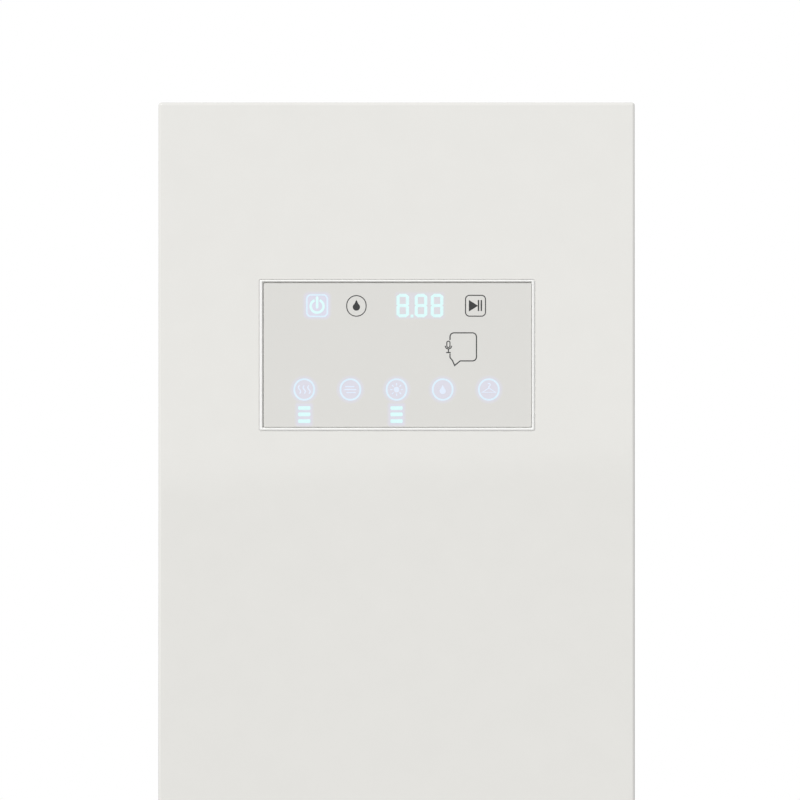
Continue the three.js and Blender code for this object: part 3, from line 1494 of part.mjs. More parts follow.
function powerInlet() {
  const frontFace = backPanelY - fitGap;
  const x = around(inletX, inletWidth / 2);
  const z = around(inletZ, inletHeight / 2);
  const body = block(x, [backY - inletDepth, backY], z);
  const flange = block(wider(x, inletFlange), [frontFace - mouldedWall, frontFace], wider(z, inletFlange));
  const socketY = [backY - inletDepth + inletWall, backY + overrun];
  const socket = block(wider(x, -inletWall), socketY, wider(z, -inletWall));
  return piece('power_inlet', cut(join(body, flange), socket), darkPlastic);
}

// Shaker drive: a crank turns under a slotted yoke and slides the hanger bar from side to side

function drivePlate() {
  const halfWidth = sideInnerX - fitGap;
  const y = [drivePlateFrontY, drivePlateRearY];
  const innerHalf = halfWidth - drivePlateSheet;
  const flangeTopZ = plateTopZ + drivePlateFlange;
  const channel = polygon([
    [-halfWidth, drivePlateZ],
    [halfWidth, drivePlateZ],
    [halfWidth, flangeTopZ],
    [innerHalf, flangeTopZ],
    [innerHalf, plateTopZ],
    [-innerHalf, plateTopZ],
    [-innerHalf, flangeTopZ],
    [-halfWidth, flangeTopZ],
  ]);
  const plateMiddleZ = plateTopZ - drivePlateSheet / 2;
  const rodBlocks = [];
  for (const x of [-rodBlockX, rodBlockX]) {
    for (const rodY of around(shakerY, rodOffset)) {
      rodBlocks.push(
        block(
          around(x, rodBlockWidth / 2),
          around(rodY, rodBlockHalfDepth),
          [plateMiddleZ, rodZ + rodBlockHalfDepth],
        ),
      );
    }
  }
  const boss = round('z', 0, shakerY, crankBossRadius, [plateMiddleZ, pulleyBottomZ - fitGap]);
  const bridgeY = around(motorY, motorRadius);
  const bridgeTopZ = bridgeZ + drivePlateSheet;
  const bridge = block(around(0, bridgeHalfWidth), bridgeY, [plateMiddleZ, bridgeTopZ]);
  const bridgeGap = block(
    around(0, bridgeHalfWidth - drivePlateSheet),
    wider(bridgeY, overrun),
    [plateTopZ, bridgeZ],
  );
  const rodBores = around(shakerY, rodOffset).map((rodY) =>
    round('x', rodY, rodZ, rodRadius + fitGap, around(0, rodHalfLength + overrun)),
  );
  const crankBoreZ = wider([drivePlateZ, pulleyBottomZ], overrun);
  const crankBore = round('z', 0, shakerY, crankShaftRadius + fitGap, crankBoreZ);
  const motorHoleZ = wider([bridgeZ, bridgeTopZ], overrun);
  const motorHole = round('z', 0, motorY, motorShaftRadius + 2 * fitGap, motorHoleZ, coarseSides);
  const frame = cut(
    join(prism(channel, 'y', y), ...rodBlocks, boss, cut(bridge, bridgeGap)),
    ...rodBores,
    crankBore,
    motorHole,
    ...armSlots(around(drivePlateZ, overrun)),
  );
  return piece('drive_plate', frame, galvanised);
}

function guideRod(name, rodY) {
  const rod = round('x', 0, 0, rodRadius, [-rodHalfLength, rodHalfLength], coarseSides);
  const mesh = piece(name, rod, stainless);
  mesh.position.set(0, rodY, rodZ);
  return mesh;
}

function hangerCarriage() {
  const plateZ = [carriageZ, carriageZ + carriageSheet];
  const outline = rounded(
    [-carriageHalfLength, carriageHalfLength],
    around(shakerY, carriageHalfDepth),
    crankPinRadius * 2,
  );
  const slotHalf = shakerStroke + crankPinRadius + armSlotRoom;
  const slotRadius = crankPinRadius + fitGap;
  outline.holes.push(rounded(around(0, slotRadius), around(shakerY, slotHalf), slotRadius * roundEndShare));
  const plate = prism(outline, 'z', plateZ);
  const bearings = [];
  const bores = [];
  const plateMiddleZ = carriageZ + carriageSheet / 2;
  const bearingZ = [rodZ - bearingDrop, plateMiddleZ];
  for (const rodY of around(shakerY, rodOffset)) {
    for (const x of [-bearingX, bearingX]) {
      bearings.push(block(around(x, bearingHalfLength), around(rodY, bearingHalfWidth), bearingZ));
    }
    bores.push(round('x', rodY, rodZ, rodRadius + fitGap, around(0, carriageHalfLength + overrun)));
  }
  const armZ = [barZ + fitGap, plateMiddleZ];
  const arms = [-1, 1].map((side) =>
    block(around(side * armX, armHalfWidth), around(shakerY, armHalfDepth), armZ),
  );
  return piece('hanger_carriage', cut(join(plate, ...bearings, ...arms), ...bores), galvanised);
}

function hangerBar() {
  const z = [barZ - barHeight, barZ];
  const points = [[-barHalfLength, z[0]], [barHalfLength, z[0]], [barHalfLength, z[1]]];
  const firstNotch = ((barNotches - 1) / 2) * barNotchPitch;
  for (let notch = 0; notch < barNotches; notch += 1) {
    const x = firstNotch - notch * barNotchPitch;
    const half = barNotchWidth / 2;
    points.push([x + half, z[1]], [x + half / 2, z[1] - barNotchDepth]);
    points.push([x - half / 2, z[1] - barNotchDepth], [x - half, z[1]]);
  }
  points.push([-barHalfLength, z[1]]);
  return piece('hanger_bar', prism(polygon(points), 'y', around(shakerY, barHalfDepth)), stainless);
}

const grooveBottomZ = pulleyBottomZ + pulleyFlangeSheet;
const grooveZ = [grooveBottomZ, grooveBottomZ + beltWidth + 2 * beltRoom];
const pulleyTopZ = grooveZ[1] + pulleyFlangeSheet;

function crankPulley() {
  const rimRadius = pulleyRadius + pulleyFlange;
  const profile = [
    [0, drivePlateZ],
    [crankShaftRadius, drivePlateZ],
    [crankShaftRadius, pulleyBottomZ],
    [rimRadius, pulleyBottomZ],
    [rimRadius, grooveZ[0]],
    [pulleyRadius, grooveZ[0]],
    [pulleyRadius, grooveZ[1]],
    [rimRadius, grooveZ[1]],
    [rimRadius, pulleyTopZ],
    [0, pulleyTopZ],
  ];
  const pinZ = [pulleyTopZ - pulleyFlangeSheet, carriageZ - fitGap];
  const pin = round('z', 0, shakerStroke, crankPinRadius, pinZ, coarseSides);
  const mesh = piece('crank_pulley', join(turned(profile, 0, 0, fineSides), pin), whitePlastic);
  mesh.position.set(0, shakerY, 0);
  return mesh;
}

function motorPulley() {
  const rimRadius = motorPulleyRadius + pulleyFlange;
  const shaftTop = bridgeZ + drivePlateSheet + motorBore;
  const profile = [
    [0, pulleyBottomZ],
    [rimRadius, pulleyBottomZ],
    [rimRadius, grooveZ[0]],
    [motorPulleyRadius, grooveZ[0]],
    [motorPulleyRadius, grooveZ[1]],
    [rimRadius, grooveZ[1]],
    [rimRadius, pulleyTopZ],
    [motorShaftRadius, pulleyTopZ],
    [motorShaftRadius, shaftTop],
    [0, shaftTop],
  ];
  const mesh = piece('motor_pulley', turned(profile, 0, 0, roundSides), whitePlastic);
  mesh.position.set(0, motorY, 0);
  return mesh;
}

function shakerMotor() {
  const bottomZ = bridgeZ + drivePlateSheet + fitGap;
  const body = round('z', 0, motorY, motorRadius, [bottomZ, bottomZ + motorHeight]);
  const boreZ = [bottomZ - overrun, bottomZ + motorBore + fitGap];
  const bore = round('z', 0, motorY, motorShaftRadius + fitGap, boreZ, coarseSides);
  return piece('shaker_motor', cut(body, bore), galvanised);
}

// The belt wraps both pulleys: two arcs joined by their outer tangents.
function beltOutline(grow) {
  const distance = motorY - shakerY;
  const big = pulleyRadius + grow;
  const small = motorPulleyRadius + grow;
  const lean = Math.asin((big - small) / distance);
  const points = [];
  for (let step = 0; step <= beltBigSteps; step += 1) {
    const angle = Math.PI - lean + ((Math.PI + 2 * lean) * step) / beltBigSteps;
    points.push([big * Math.cos(angle), shakerY + big * Math.sin(angle)]);
  }
  for (let step = 0; step <= beltSmallSteps; step += 1) {
    const angle = lean + ((Math.PI - 2 * lean) * step) / beltSmallSteps;
    points.push([small * Math.cos(angle), motorY + small * Math.sin(angle)]);
  }
  return points;
}

function driveBelt() {
  const shape = polygon(beltOutline(fitGap + beltThickness));
  shape.holes.push(polygon(beltOutline(fitGap)));
  return piece('drive_belt', prism(shape, 'z', wider(grooveZ, -beltRoom)), blackRubber);
}

// Assembly. Each group that moves has its origin on its own pivot.

function pivotGroup(x, y, z, meshes) {
  const group = new THREE.Group();
  group.position.set(x, y, z);
  for (const mesh of meshes) {
    mesh.position.sub(group.position);
    group.add(mesh);
  }
  return group;
}

function tankGroup(side, name) {
  const cap = tankCap(`${name}_cap`, side);
  return pivotGroup(side * neckX, tankNoseY, tankBottomZ, [
    waterTank(name, side),
    tankFront(`${name}_front`, side),
    cap,
  ]);
}

const door = pivotGroup(hingeX, hingeY, doorBottomZ, [
  doorSkin(),
  doorLiner(),
  doorGasket(),
  doorGrip(),
  hingeBlock('hinge_block_top', doorEnds.top),
  hingeBlock('hinge_block_bottom', doorEnds.bottom),
  panelBezel(),
  touchPanel(),
  boardCarrier(),
  displayBoard(),
]);

const hanger = pivotGroup(0, shakerY, barZ, [hangerCarriage(), hangerBar()]);

const cabinet = new THREE.Group();
cabinet.add(
  basePan(),
  sidePanel('side_panel_left', -1),
  sidePanel('side_panel_right', 1),
  topPanel(),
  backPanel(),
  frontFrame(),
  plinthGrille(),
  chamberLiner(),
  airOutletGrille(),
  chamberLamp(),
  steamNozzle(),
  tankBay(),
  airDuct(),
  finnedCoil('evaporator_coil', evaporatorY),
  finnedCoil('condenser_coil', condenserY),
  fanScroll(),
  fanMotor(),
  compressor(),
  dischargePipe(),
  suctionPipe(),
  steamGenerator(),
  steamHose(),
  feedPump(),
  feedHose(),
  controlBoard(),
  powerInlet(),
  drivePlate(),
  guideRod('guide_rod_front', shakerY - rodOffset),
  guideRod('guide_rod_rear', shakerY + rodOffset),
  shakerMotor(),
  driveBelt(),
  hingeBracket('hinge_bracket_top', doorEnds.top),
  hingeBracket('hinge_bracket_bottom', doorEnds.bottom),
);

const steamCabinet = new THREE.Group();
steamCabinet.add(
  cabinet,
  door,
  hanger,
  crankPulley(),
  motorPulley(),
  fanWheel(),
  lintFilter(),
  garmentShelf(),
  tankGroup(-1, 'supply_tank'),
  tankGroup(1, 'waste_tank'),
  ...footPlaces.map(levellingFoot),
);

export default steamCabinet;
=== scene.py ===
import math

import bmesh
import bpy
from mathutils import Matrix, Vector


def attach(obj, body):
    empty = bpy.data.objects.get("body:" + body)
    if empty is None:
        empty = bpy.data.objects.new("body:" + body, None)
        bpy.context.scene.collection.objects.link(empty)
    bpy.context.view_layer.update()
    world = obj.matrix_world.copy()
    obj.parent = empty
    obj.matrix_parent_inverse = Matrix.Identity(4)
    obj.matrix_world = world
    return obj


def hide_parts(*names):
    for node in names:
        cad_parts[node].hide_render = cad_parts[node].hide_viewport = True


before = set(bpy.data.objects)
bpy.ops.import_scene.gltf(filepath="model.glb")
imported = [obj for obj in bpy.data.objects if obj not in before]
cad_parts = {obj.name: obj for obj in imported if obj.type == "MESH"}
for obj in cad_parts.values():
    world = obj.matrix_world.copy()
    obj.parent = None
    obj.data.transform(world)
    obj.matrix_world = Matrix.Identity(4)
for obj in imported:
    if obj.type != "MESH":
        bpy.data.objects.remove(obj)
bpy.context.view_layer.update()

# Camera and studio
# A long lens stands straight in front of the door, five metres off, at the height of a standing eye.
# The room is white above the skyline and grey below it, which a gloss surface shows as two tones.

bpy.context.scene.view_settings.view_transform = "Standard"
camera = bpy.data.objects.new("camera", bpy.data.cameras.new("camera"))
bpy.context.scene.collection.objects.link(camera)
bpy.context.scene.camera = camera
camera.data.sensor_width = 36
camera.data.lens = 241
camera.location = (0.0032, -5.292, 1.572)
camera.rotation_euler = (math.radians(90), 0, 0)


def add(tree, kind, sockets=None, **settings):
    """Adds a node; sockets gives each input its value or the node or output that feeds it."""
    made_node = tree.nodes.new(kind)
    for name, value in settings.items():
        setattr(made_node, name, value)
    for socket, value in (sockets or {}).items():
        if isinstance(value, bpy.types.Node):
            value = value.outputs[0]
        if isinstance(value, bpy.types.NodeSocket):
            tree.links.new(value, made_node.inputs[socket])
        else:
            made_node.inputs[socket].default_value = value
    return made_node


def linear(code):
    """An sRGB hex colour as the linear colour that a shader takes."""
    shares = [int(code[place:place + 2], 16) / 255 for place in (1, 3, 5)]
    return [share / 12.92 if share <= 0.04045 else ((share + 0.055) / 1.055) ** 2.4 for share in shares] + [1]


room = bpy.data.worlds.new("studio_room")
bpy.context.scene.world = room
room.use_nodes = True
walls = room.node_tree
walls.nodes.clear()
seen = add(walls, "ShaderNodeLightPath").outputs
compass = add(walls, "ShaderNodeTexCoord").outputs["Generated"]
heading = add(walls, "ShaderNodeSeparateXYZ", {0: compass}).outputs
# The skyline lies a little under eye level and drops towards the left of the door.
skyline_slope, grey_below, white_above = -0.062, -0.0155, -0.0105
# Grey of the lower room, and the part of the white that reaches matt surfaces.
lower_grey, matt_share = 0.24, 0.544
slant = add(
    walls, "ShaderNodeMath", {0: heading[0], 1: skyline_slope, 2: heading[2]}, operation="MULTIPLY_ADD"
)
skyline = add(
    walls,
    "ShaderNodeMapRange",
    {0: slant, 1: grey_below, 2: white_above, 3: lower_grey, 4: 1.0},
    interpolation_type="SMOOTHSTEP",
)
bare = add(
    walls, "ShaderNodeMath", {0: seen["Is Camera Ray"], 1: seen["Is Transmission Ray"]}, operation="MAXIMUM"
)
gloss = add(walls, "ShaderNodeMix", {0: seen["Is Glossy Ray"], 2: matt_share, 3: skyline})
bright = add(walls, "ShaderNodeMix", {0: bare, 2: gloss, 3: 1.0})
backdrop = add(walls, "ShaderNodeBackground", {"Color": (1, 1, 1, 1), "Strength": bright})
add(walls, "ShaderNodeOutputWorld", {0: backdrop})

# One large soft box at the upper left lights the left and top edges and leaves the right edge darker.
soft_box = bpy.data.objects.new("soft_box", bpy.data.lights.new("soft_box", "SUN"))
bpy.context.scene.collection.objects.link(soft_box)
soft_box.data.energy = 1.785
soft_box.data.angle = math.radians(30)
soft_box.rotation_euler = Vector((-0.36, -0.8, 0.42)).to_track_quat("Z", "Y").to_euler()

# The floor is pale paper for the eye and for gloss, and greyer for the light that it throws back.
# It fades out before its rim.
floor_radius, fade_from, fade_to = 6, 1.5, 5.5
floor_mesh = bpy.data.meshes.new("floor")
rim_turns = [math.tau * step / 64 for step in range(64)]
floor_rim = [(floor_radius * math.cos(turn), floor_radius * math.sin(turn), 0) for turn in rim_turns]
floor_mesh.from_pydata(floor_rim, [], [list(range(len(floor_rim)))])
floor = bpy.data.objects.new("floor", floor_mesh)
bpy.context.scene.collection.objects.link(floor)
paper = bpy.data.materials.new("pale_background_paper")
paper.use_nodes = True
paper_tree = paper.node_tree
paper_tree.nodes.clear()
viewed = add(paper_tree, "ShaderNodeLightPath").outputs
direct = viewed["Is Camera Ray"]
for ray_kind in ("Is Glossy Ray", "Is Transmission Ray"):
    direct = add(paper_tree, "ShaderNodeMath", {0: direct, 1: viewed[ray_kind]}, operation="MAXIMUM")
tone = add(
    paper_tree, "ShaderNodeMix", {0: direct, 6: linear("#C2C2C1"), 7: linear("#FAFAF9")}, data_type="RGBA"
)
sheet = add(paper_tree, "ShaderNodeBsdfDiffuse", {"Color": tone.outputs[2]})
spot_on_floor = add(paper_tree, "ShaderNodeTexCoord").outputs["Object"]
away = add(paper_tree, "ShaderNodeVectorMath", {0: spot_on_floor}, operation="LENGTH").outputs["Value"]
fade = add(
    paper_tree, "ShaderNodeMapRange", {0: away, 1: fade_from, 2: fade_to}, interpolation_type="SMOOTHSTEP"
)
clear = add(paper_tree, "ShaderNodeBsdfTransparent")
blend = add(paper_tree, "ShaderNodeMixShader", {0: fade, 1: sheet, 2: clear})
add(paper_tree, "ShaderNodeOutputMaterial", {0: blend})
floor_mesh.materials.append(paper)

# Base pan and levelling feet
# The pan is folded from galvanised sheet. Four feet of black nylon, each moulded in one with its
# screw, carry it and turn in nuts under the pan to level the cabinet.


def surface(
    name, colours, roughness, grain, relief, metallic=0, stretch=(1, 1, 1), kind="ShaderNodeTexNoise"
):
    """A finish whose colour, roughness and relief drift over a grain; grain and relief are in mm."""
    material = bpy.data.materials.new(name)
    material.use_nodes = True
    tree = material.node_tree
    shader = tree.nodes["Principled BSDF"]
    place = add(tree, "ShaderNodeMapping", {0: add(tree, "ShaderNodeTexCoord").outputs["Object"], 3: stretch})
    pattern = add(tree, kind, {"Vector": place, "Scale": 1000 / grain, "Detail": 3})
    pattern = pattern.outputs["Color"] if kind == "ShaderNodeTexVoronoi" else pattern.outputs[0]
    dark, light = (linear(code) for code in colours)
    shade = add(tree, "ShaderNodeMix", {0: pattern, 6: dark, 7: light}, data_type="RGBA")
    sheen = add(tree, "ShaderNodeMapRange", {0: pattern, 3: roughness[0], 4: roughness[1]})
    bump = add(tree, "ShaderNodeBump", {"Height": pattern, "Distance": relief / 1000})
    tree.links.new(shade.outputs[2], shader.inputs["Base Color"])
    tree.links.new(sheen.outputs[0], shader.inputs["Roughness"])
    tree.links.new(bump.outputs[0], shader.inputs["Normal"])
    shader.inputs["Metallic"].default_value = metallic
    return material


def dressed(material, *nodes):
    """Gives CAD nodes that keep their own shape a finish."""
    for name in nodes:
        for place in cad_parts[name].material_slots:
            place.material = material


def stacked(outlines, axis, ends=True):
    """A skin through outlines in mm with as many points each, each given with its place along the axis."""
    points, faces = [], []
    for outline, along in outlines:
        points += [{"x": (along, u, v), "y": (u, along, v), "z": (u, v, along)}[axis] for u, v in outline]
    count = len(outlines[0][0])
    for ring in range(len(outlines) - ends):
        near, far = ring * count, (ring + 1) % len(outlines) * count
        for corner in range(count):
            after = (corner + 1) % count
            faces.append((near + corner, near + after, far + after, far + corner))
    if ends:
        faces += [tuple(range(count)), tuple(range(len(points) - count, len(points)))]
    return points, faces


def lofted(rings, axis="y", steps=6, ends=True):
    """A skin through rounded rectangles in mm, given by their limits, corner radius and place on the axis."""
    outlines = []
    for low_u, high_u, low_v, high_v, radius, along in rings:
        outline = []
        corners = ((high_u, low_v, -90), (high_u, high_v, 0), (low_u, high_v, 90), (low_u, low_v, 180))
        for u, v, start in corners:
            centre_u = u - radius if u == high_u else u + radius
            centre_v = v - radius if v == high_v else v + radius
            for step in range(steps + 1):
                turn = math.radians(start + 90 * step / steps)
                outline.append((centre_u + radius * math.cos(turn), centre_v + radius * math.sin(turn)))
        outlines.append((outline, along))
    return stacked(outlines, axis, ends)


def turned(u, v, profile, axis="z", steps=12):
    """A round skin about a centre from its radii and places along the axis, in mm."""
    rings = [(u - radius, u + radius, v - radius, v + radius, radius, along) for radius, along in profile]
    return lofted(rings, axis, steps)


def made(name, *skins):
    """One object out of closed skins in mm."""
    points, faces = [], []
    for skin_points, skin_faces in skins:
        faces += [[len(points) + corner for corner in face] for face in skin_faces]
        points += [Vector(point) / 1000 for point in skin_points]
    mesh = bpy.data.meshes.new(name)
    mesh.from_pydata(points, [], faces)
    work = bmesh.new()
    work.from_mesh(mesh)
    bmesh.ops.remove_doubles(work, verts=work.verts, dist=1e-6)
    bmesh.ops.recalc_face_normals(work, faces=work.faces)
    work.to_mesh(mesh)
    work.free()
    thing = bpy.data.objects.new(name, mesh)
    bpy.context.scene.collection.objects.link(thing)
    return thing


def settled(thing):
    """Turns what an object's modifiers make into its plain mesh."""
    bpy.context.view_layer.update()
    mesh = bpy.data.meshes.new_from_object(thing.evaluated_get(bpy.context.evaluated_depsgraph_get()))
    thing.modifiers.clear()
    thing.data = mesh
    return thing


def eased(thing, edge=0):
    """Breaks the sharp edges by so many mm and shades what is round as round."""
    for face in thing.data.polygons:
        face.use_smooth = True
    if edge:
        chamfer = thing.modifiers.new("edge", "BEVEL")
        chamfer.width, chamfer.segments = edge / 1000, 2
        chamfer.limit_method, chamfer.angle_limit = "ANGLE", math.radians(40)
    else:
        thing.data.set_sharp_from_angle(angle=math.radians(35))
    flats = thing.modifiers.new("flats", "WEIGHTED_NORMAL")
    flats.keep_sharp = True
    return settled(thing)


def fitted(thing, body, material, slot, *nodes):
    """Gives a finished piece its material and its body, and hides the CAD nodes that it stands for."""
    if material:
        thing.data.materials.clear()
        thing.data.materials.append(material)
    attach(thing, body)
    if nodes:
        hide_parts(*nodes)
    return thing


# Hot-dip galvanised steel: dull zinc with crystals about 9 mm across, each with its own tone.
galvanised = surface(
    "galvanised_steel_sheet",
    ("#9BA0A4", "#C6CACD"),
    (0.34, 0.52),
    9,
    0.004,
    metallic=1,
    kind="ShaderNodeTexVoronoi",
)
dressed(galvanised, "base_pan")

# Injection-moulded black nylon: matt, with a fine spark-eroded grain.
black_nylon = surface("moulded_black_nylon", ("#27292B", "#313436"), (0.5, 0.66), 0.9, 0.01)
# Radii and heights of the pad, from the floor up to its neck, where the screw starts.
thread_start, thread_crest, thread_root, half_pitch = 19.7, 4, 3.4, 0.61
foot_pad = [(16.6, 0), (17.6, 0.4), (18, 1.4), (18, 4.2), (17.2, 5.2)]
foot_pad += [(11, 8.2), (9.4, 9.2), (9, 10.4), (9, 19.2), (8.6, thread_start)]
thread = [(thread_crest if half % 2 else thread_root, thread_start + half_pitch * half) for half in range(31)]
for row_name, foot_y in (("front", -185), ("rear", 255)):
    for side_name, foot_x in (("left", -188.5), ("right", 188.5)):
        name = f"foot_{row_name}_{side_name}"
        foot = made(f"{name}_pad", turned(foot_x, foot_y, foot_pad), turned(foot_x, foot_y, thread, steps=6))
        fitted(eased(foot), name, black_nylon, "dark_plastic", name)

# Outer panels
# Coil-coated steel sheet: gloss polyester baked over zinc, then cut and folded to 1 mm C panels
# that hook into the pan and the front frame.


def coil_coating(name, colours):
    """Gloss paint: an even tint under a clear top whose orange peel is about 3 mm from crest to crest."""
    peels_per_metre, peel_height = 330, 0.000005
    material = surface(name, colours, (0.46, 0.54), 30, 0.0005)
    tree = material.node_tree
    shader = tree.nodes["Principled BSDF"]
    place = add(tree, "ShaderNodeTexCoord").outputs["Object"]
    peel = add(
        tree, "ShaderNodeTexNoise", {"Vector": place, "Scale": peels_per_metre, "Detail": 1, "Roughness": 0.4}
    )
    relief = add(tree, "ShaderNodeBump", {"Height": peel, "Distance": peel_height})
    tree.links.new(relief.outputs[0], shader.inputs["Coat Normal"])
    shader.inputs["Specular IOR Level"].default_value = 0
    shader.inputs["Coat Weight"].default_value = 1
    shader.inputs["Coat Roughness"].default_value = 0.03
    shader.inputs["Coat IOR"].default_value = 1.5
    return material


def bent(corners, turns=5):
    """An outline in mm from its corners, each given as across, up and the radius that rounds it."""
    # Half of a corner's angle, in radians, past which it counts as no corner.
    straight_on = 1.56
    outline = []
    for place, (u, v, radius) in enumerate(corners):
        corner = Vector((u, v))
        back = (Vector(corners[place - 1][:2]) - corner).normalized()
        on = (Vector(corners[(place + 1) % len(corners)][:2]) - corner).normalized()
        half = back.angle(on) / 2
        if not radius or half > straight_on:
            outline.append((u, v))
            continue
        first, last = corner + back * radius / math.tan(half), corner + on * radius / math.tan(half)
        centre = corner + (back + on).normalized() * radius / math.sin(half)
        for turn in range(turns + 1):
            spoke = (first - centre).slerp(last - centre, turn / turns).normalized() * radius
            outline.append(tuple(centre + spoke))
    return outline


def pushed(outline, axis, low, high):
    """A prism in mm: an outline pushed along an axis."""
    return stacked([(outline, low), (outline, high)], axis)


white_paint = coil_coating("coil_coated_white_steel", ("#E7E6E2", "#EAE9E5"))
# The right panel's section: outer face, rear flange, inner face and front flange.
panel_outline = [(222.5, -222, 0.3), (222.5, 291.2, 1.5), (208.5, 291.2, 0.3), (208.5, 290.2, 0.3)]
panel_outline += [(221.5, 290.2, 0.5), (221.5, -219.5, 0.5), (204.5, -219.5, 0.3), (204.5, -220.5, 0.3)]
panel_outline += [(221.5, -220.5, 0), (221.5, -222, 0.3)]
for name, side in (("side_panel_left", -1), ("side_panel_right", 1)):
    corners = [(side * u, v, radius) for u, v, radius in panel_outline]
    panel = made(f"{name}_sheet", pushed(bent(corners), "z", 22, 1846.7))
    fitted(eased(panel), "cabinet", white_paint, "painted_steel", name)


def insets(box, *rows):
    """Rings set in from a box; a row gives how far in, the corner radius and the place along the axis."""
    return [
        (box[0] + gap, box[1] - gap, box[2] + gap, box[3] - gap, radius, along) for gap, radius, along in rows
    ]


lid = (-222.5, 222.5, -222, 292.5)
top_sheet = lofted(insets(lid, (0, 2, 1847), (0, 2, 1847.5), (0.15, 2, 1847.85), (0.5, 1.6, 1848)), "z")
top_flanges = []
for side in (-1, 1):
    flange = (*sorted((side * 221.2, side * 220.2)), -208.5, 279.2)
    top_flanges.append(lofted(insets(flange, (0, 0, 1836), (0, 0, 1847.2)), "z", steps=1))
top = made("top_panel_sheet", top_sheet, *top_flanges)
fitted(eased(top), "cabinet", white_paint, "painted_steel", "top_panel")

# Front frame and plinth
# The frame is one stamping: its chamber opening is flanged inwards, and the tanks slide through
# its lower one. The plinth is a slotted strip below it that feeds air to the machine.


def carved(thing, *tools):
    """Takes the tools out of an object."""
    for tool in tools:
        cut = thing.modifiers.new("cut", "BOOLEAN")
        cut.object, cut.solver = tool, "EXACT"
    settled(thing)
    for tool in tools:
        bpy.data.objects.remove(tool)
    return thing


opening = (-180, 180, 392, 1758)
tank_opening = (-203, 203, 66, 212)
stamping = (-221.2, 221.2, 58, 1846.7)
stamping_rings = insets(stamping, (0, 0.3, -222))
stamping_rings += insets(opening, (-1.4, 19.4, -222), (-0.4, 18.4, -221.6), (0, 18, -220.6), (0, 18, -208))
stamping_rings += insets(opening, (-1.2, 19.2, -208), (-1.2, 19.2, -220.8))
stamping_rings += insets(stamping, (0, 0.3, -220.8))
frame_sheet = made("front_frame_stamping", lofted(stamping_rings, ends=False))
tank_mouth = made("tank_mouth", lofted(insets(tank_opening, (0, 3, -225), (0, 3, -215))))
fitted(eased(carved(frame_sheet, tank_mouth)), "cabinet", white_paint, "painted_steel", "front_frame")
lip_rings = insets(tank_opening, (0, 3, -221.9), (0, 3, -208), (-1.2, 4.2, -208), (-1.2, 4.2, -220.7))
lip = made("tank_mouth_lip", lofted(lip_rings, ends=False))
fitted(eased(lip), "cabinet", white_paint, "painted_steel")


def layout_tree(name, sizes, draw_path):
    """Geometry nodes that set one piece at each point of the path that draw_path makes of the inputs."""
    tree = bpy.data.node_groups.new(name, "GeometryNodeTree")
    for label, kind in (("Piece", "Object"), *sizes, ("Finish", "Material")):
        tree.interface.new_socket(name=label, in_out="INPUT", socket_type=f"NodeSocket{kind}")
    tree.interface.new_socket(name="Mesh", in_out="OUTPUT", socket_type="NodeSocketGeometry")
    given = add(tree, "NodeGroupInput").outputs
    shape = add(tree, "GeometryNodeObjectInfo", {"Object": given["Piece"]}).outputs["Geometry"]
    spread = add(tree, "GeometryNodeInstanceOnPoints", {"Points": draw_path(tree, given), "Instance": shape})
    solid = add(tree, "GeometryNodeRealizeInstances", {0: spread})
    coated = add(tree, "GeometryNodeSetMaterial", {0: solid, "Material": given["Finish"]})
    add(tree, "NodeGroupOutput", {0: coated})
    return tree


def straight(tree, given):
    """Points in a row at an even step."""
    return add(tree, "GeometryNodeMeshLine", {"Count": given["Count"], "Offset": given["Step"]})


def laid_out(name, tree, piece, **sizes):
    """Runs a layout on a piece, and keeps what it makes as one plain mesh."""
    thing = bpy.data.objects.new(name, bpy.data.meshes.new(name))
    bpy.context.scene.collection.objects.link(thing)
    maker = thing.modifiers.new("layout", "NODES")
    maker.node_group = tree
    for item in tree.interface.items_tree:
        if item.in_out == "INPUT" and (item.name == "Piece" or item.name in sizes):
            maker[item.identifier] = piece if item.name == "Piece" else sizes[item.name]
    settled(thing)
    bpy.data.objects.remove(piece)
    return thing


row = layout_tree("row", (("Count", "Int"), ("Step", "Vector")), straight)
slot = made("slot", lofted([(-195.5, -188.5, 29.85, 49.85, 3.4, y) for y in (-225, -218)]))
slots = laid_out("plinth_slots", row, slot, Count=25, Step=(0.016, 0, 0), Finish=white_paint)
plinth = made("plinth_strip", lofted([(-221.2, 221.2, 22, 57.7, 0.5, y) for y in (-222, -220.8)]))
fitted(eased(carved(plinth, slots)), "cabinet", white_paint, "painted_steel", "plinth_grille")

# Back panel
# Plain galvanised sheet with two columns of air slots and the mains inlet,
# held by countersunk cross-head screws that sit flush with it.


def upright_border(tree, given):
    """Points at an even pitch round an upright rectangle."""
    sides = {"Width": given["Width"], "Height": given["Height"]}
    path = add(tree, "GeometryNodeCurvePrimitiveQuadrilateral", sides)
    path = add(tree, "GeometryNodeResampleCurve", {"Curve": path, "Count": given["Count"]})
    stood_up = {0: path, "Translation": given["Middle"], "Rotation": (math.pi / 2, 0, 0)}
    return add(tree, "GeometryNodeTransform", stood_up)


# Bright zinc plate on the screws: smooth and a little blue.
zinc_plate = surface("bright_zinc_plated_steel", ("#BFC4C9", "#D3D7DB"), (0.2, 0.32), 1.5, 0.002, metallic=1)
border_sizes = (("Width", "Float"), ("Height", "Float"), ("Count", "Int"), ("Middle", "Vector"))
border = layout_tree("border", border_sizes, upright_border)
fastened = {"Width": 0.43, "Height": 1.72, "Count": 30, "Middle": (0, 0.2925, 0.93435), "Finish": zinc_plate}
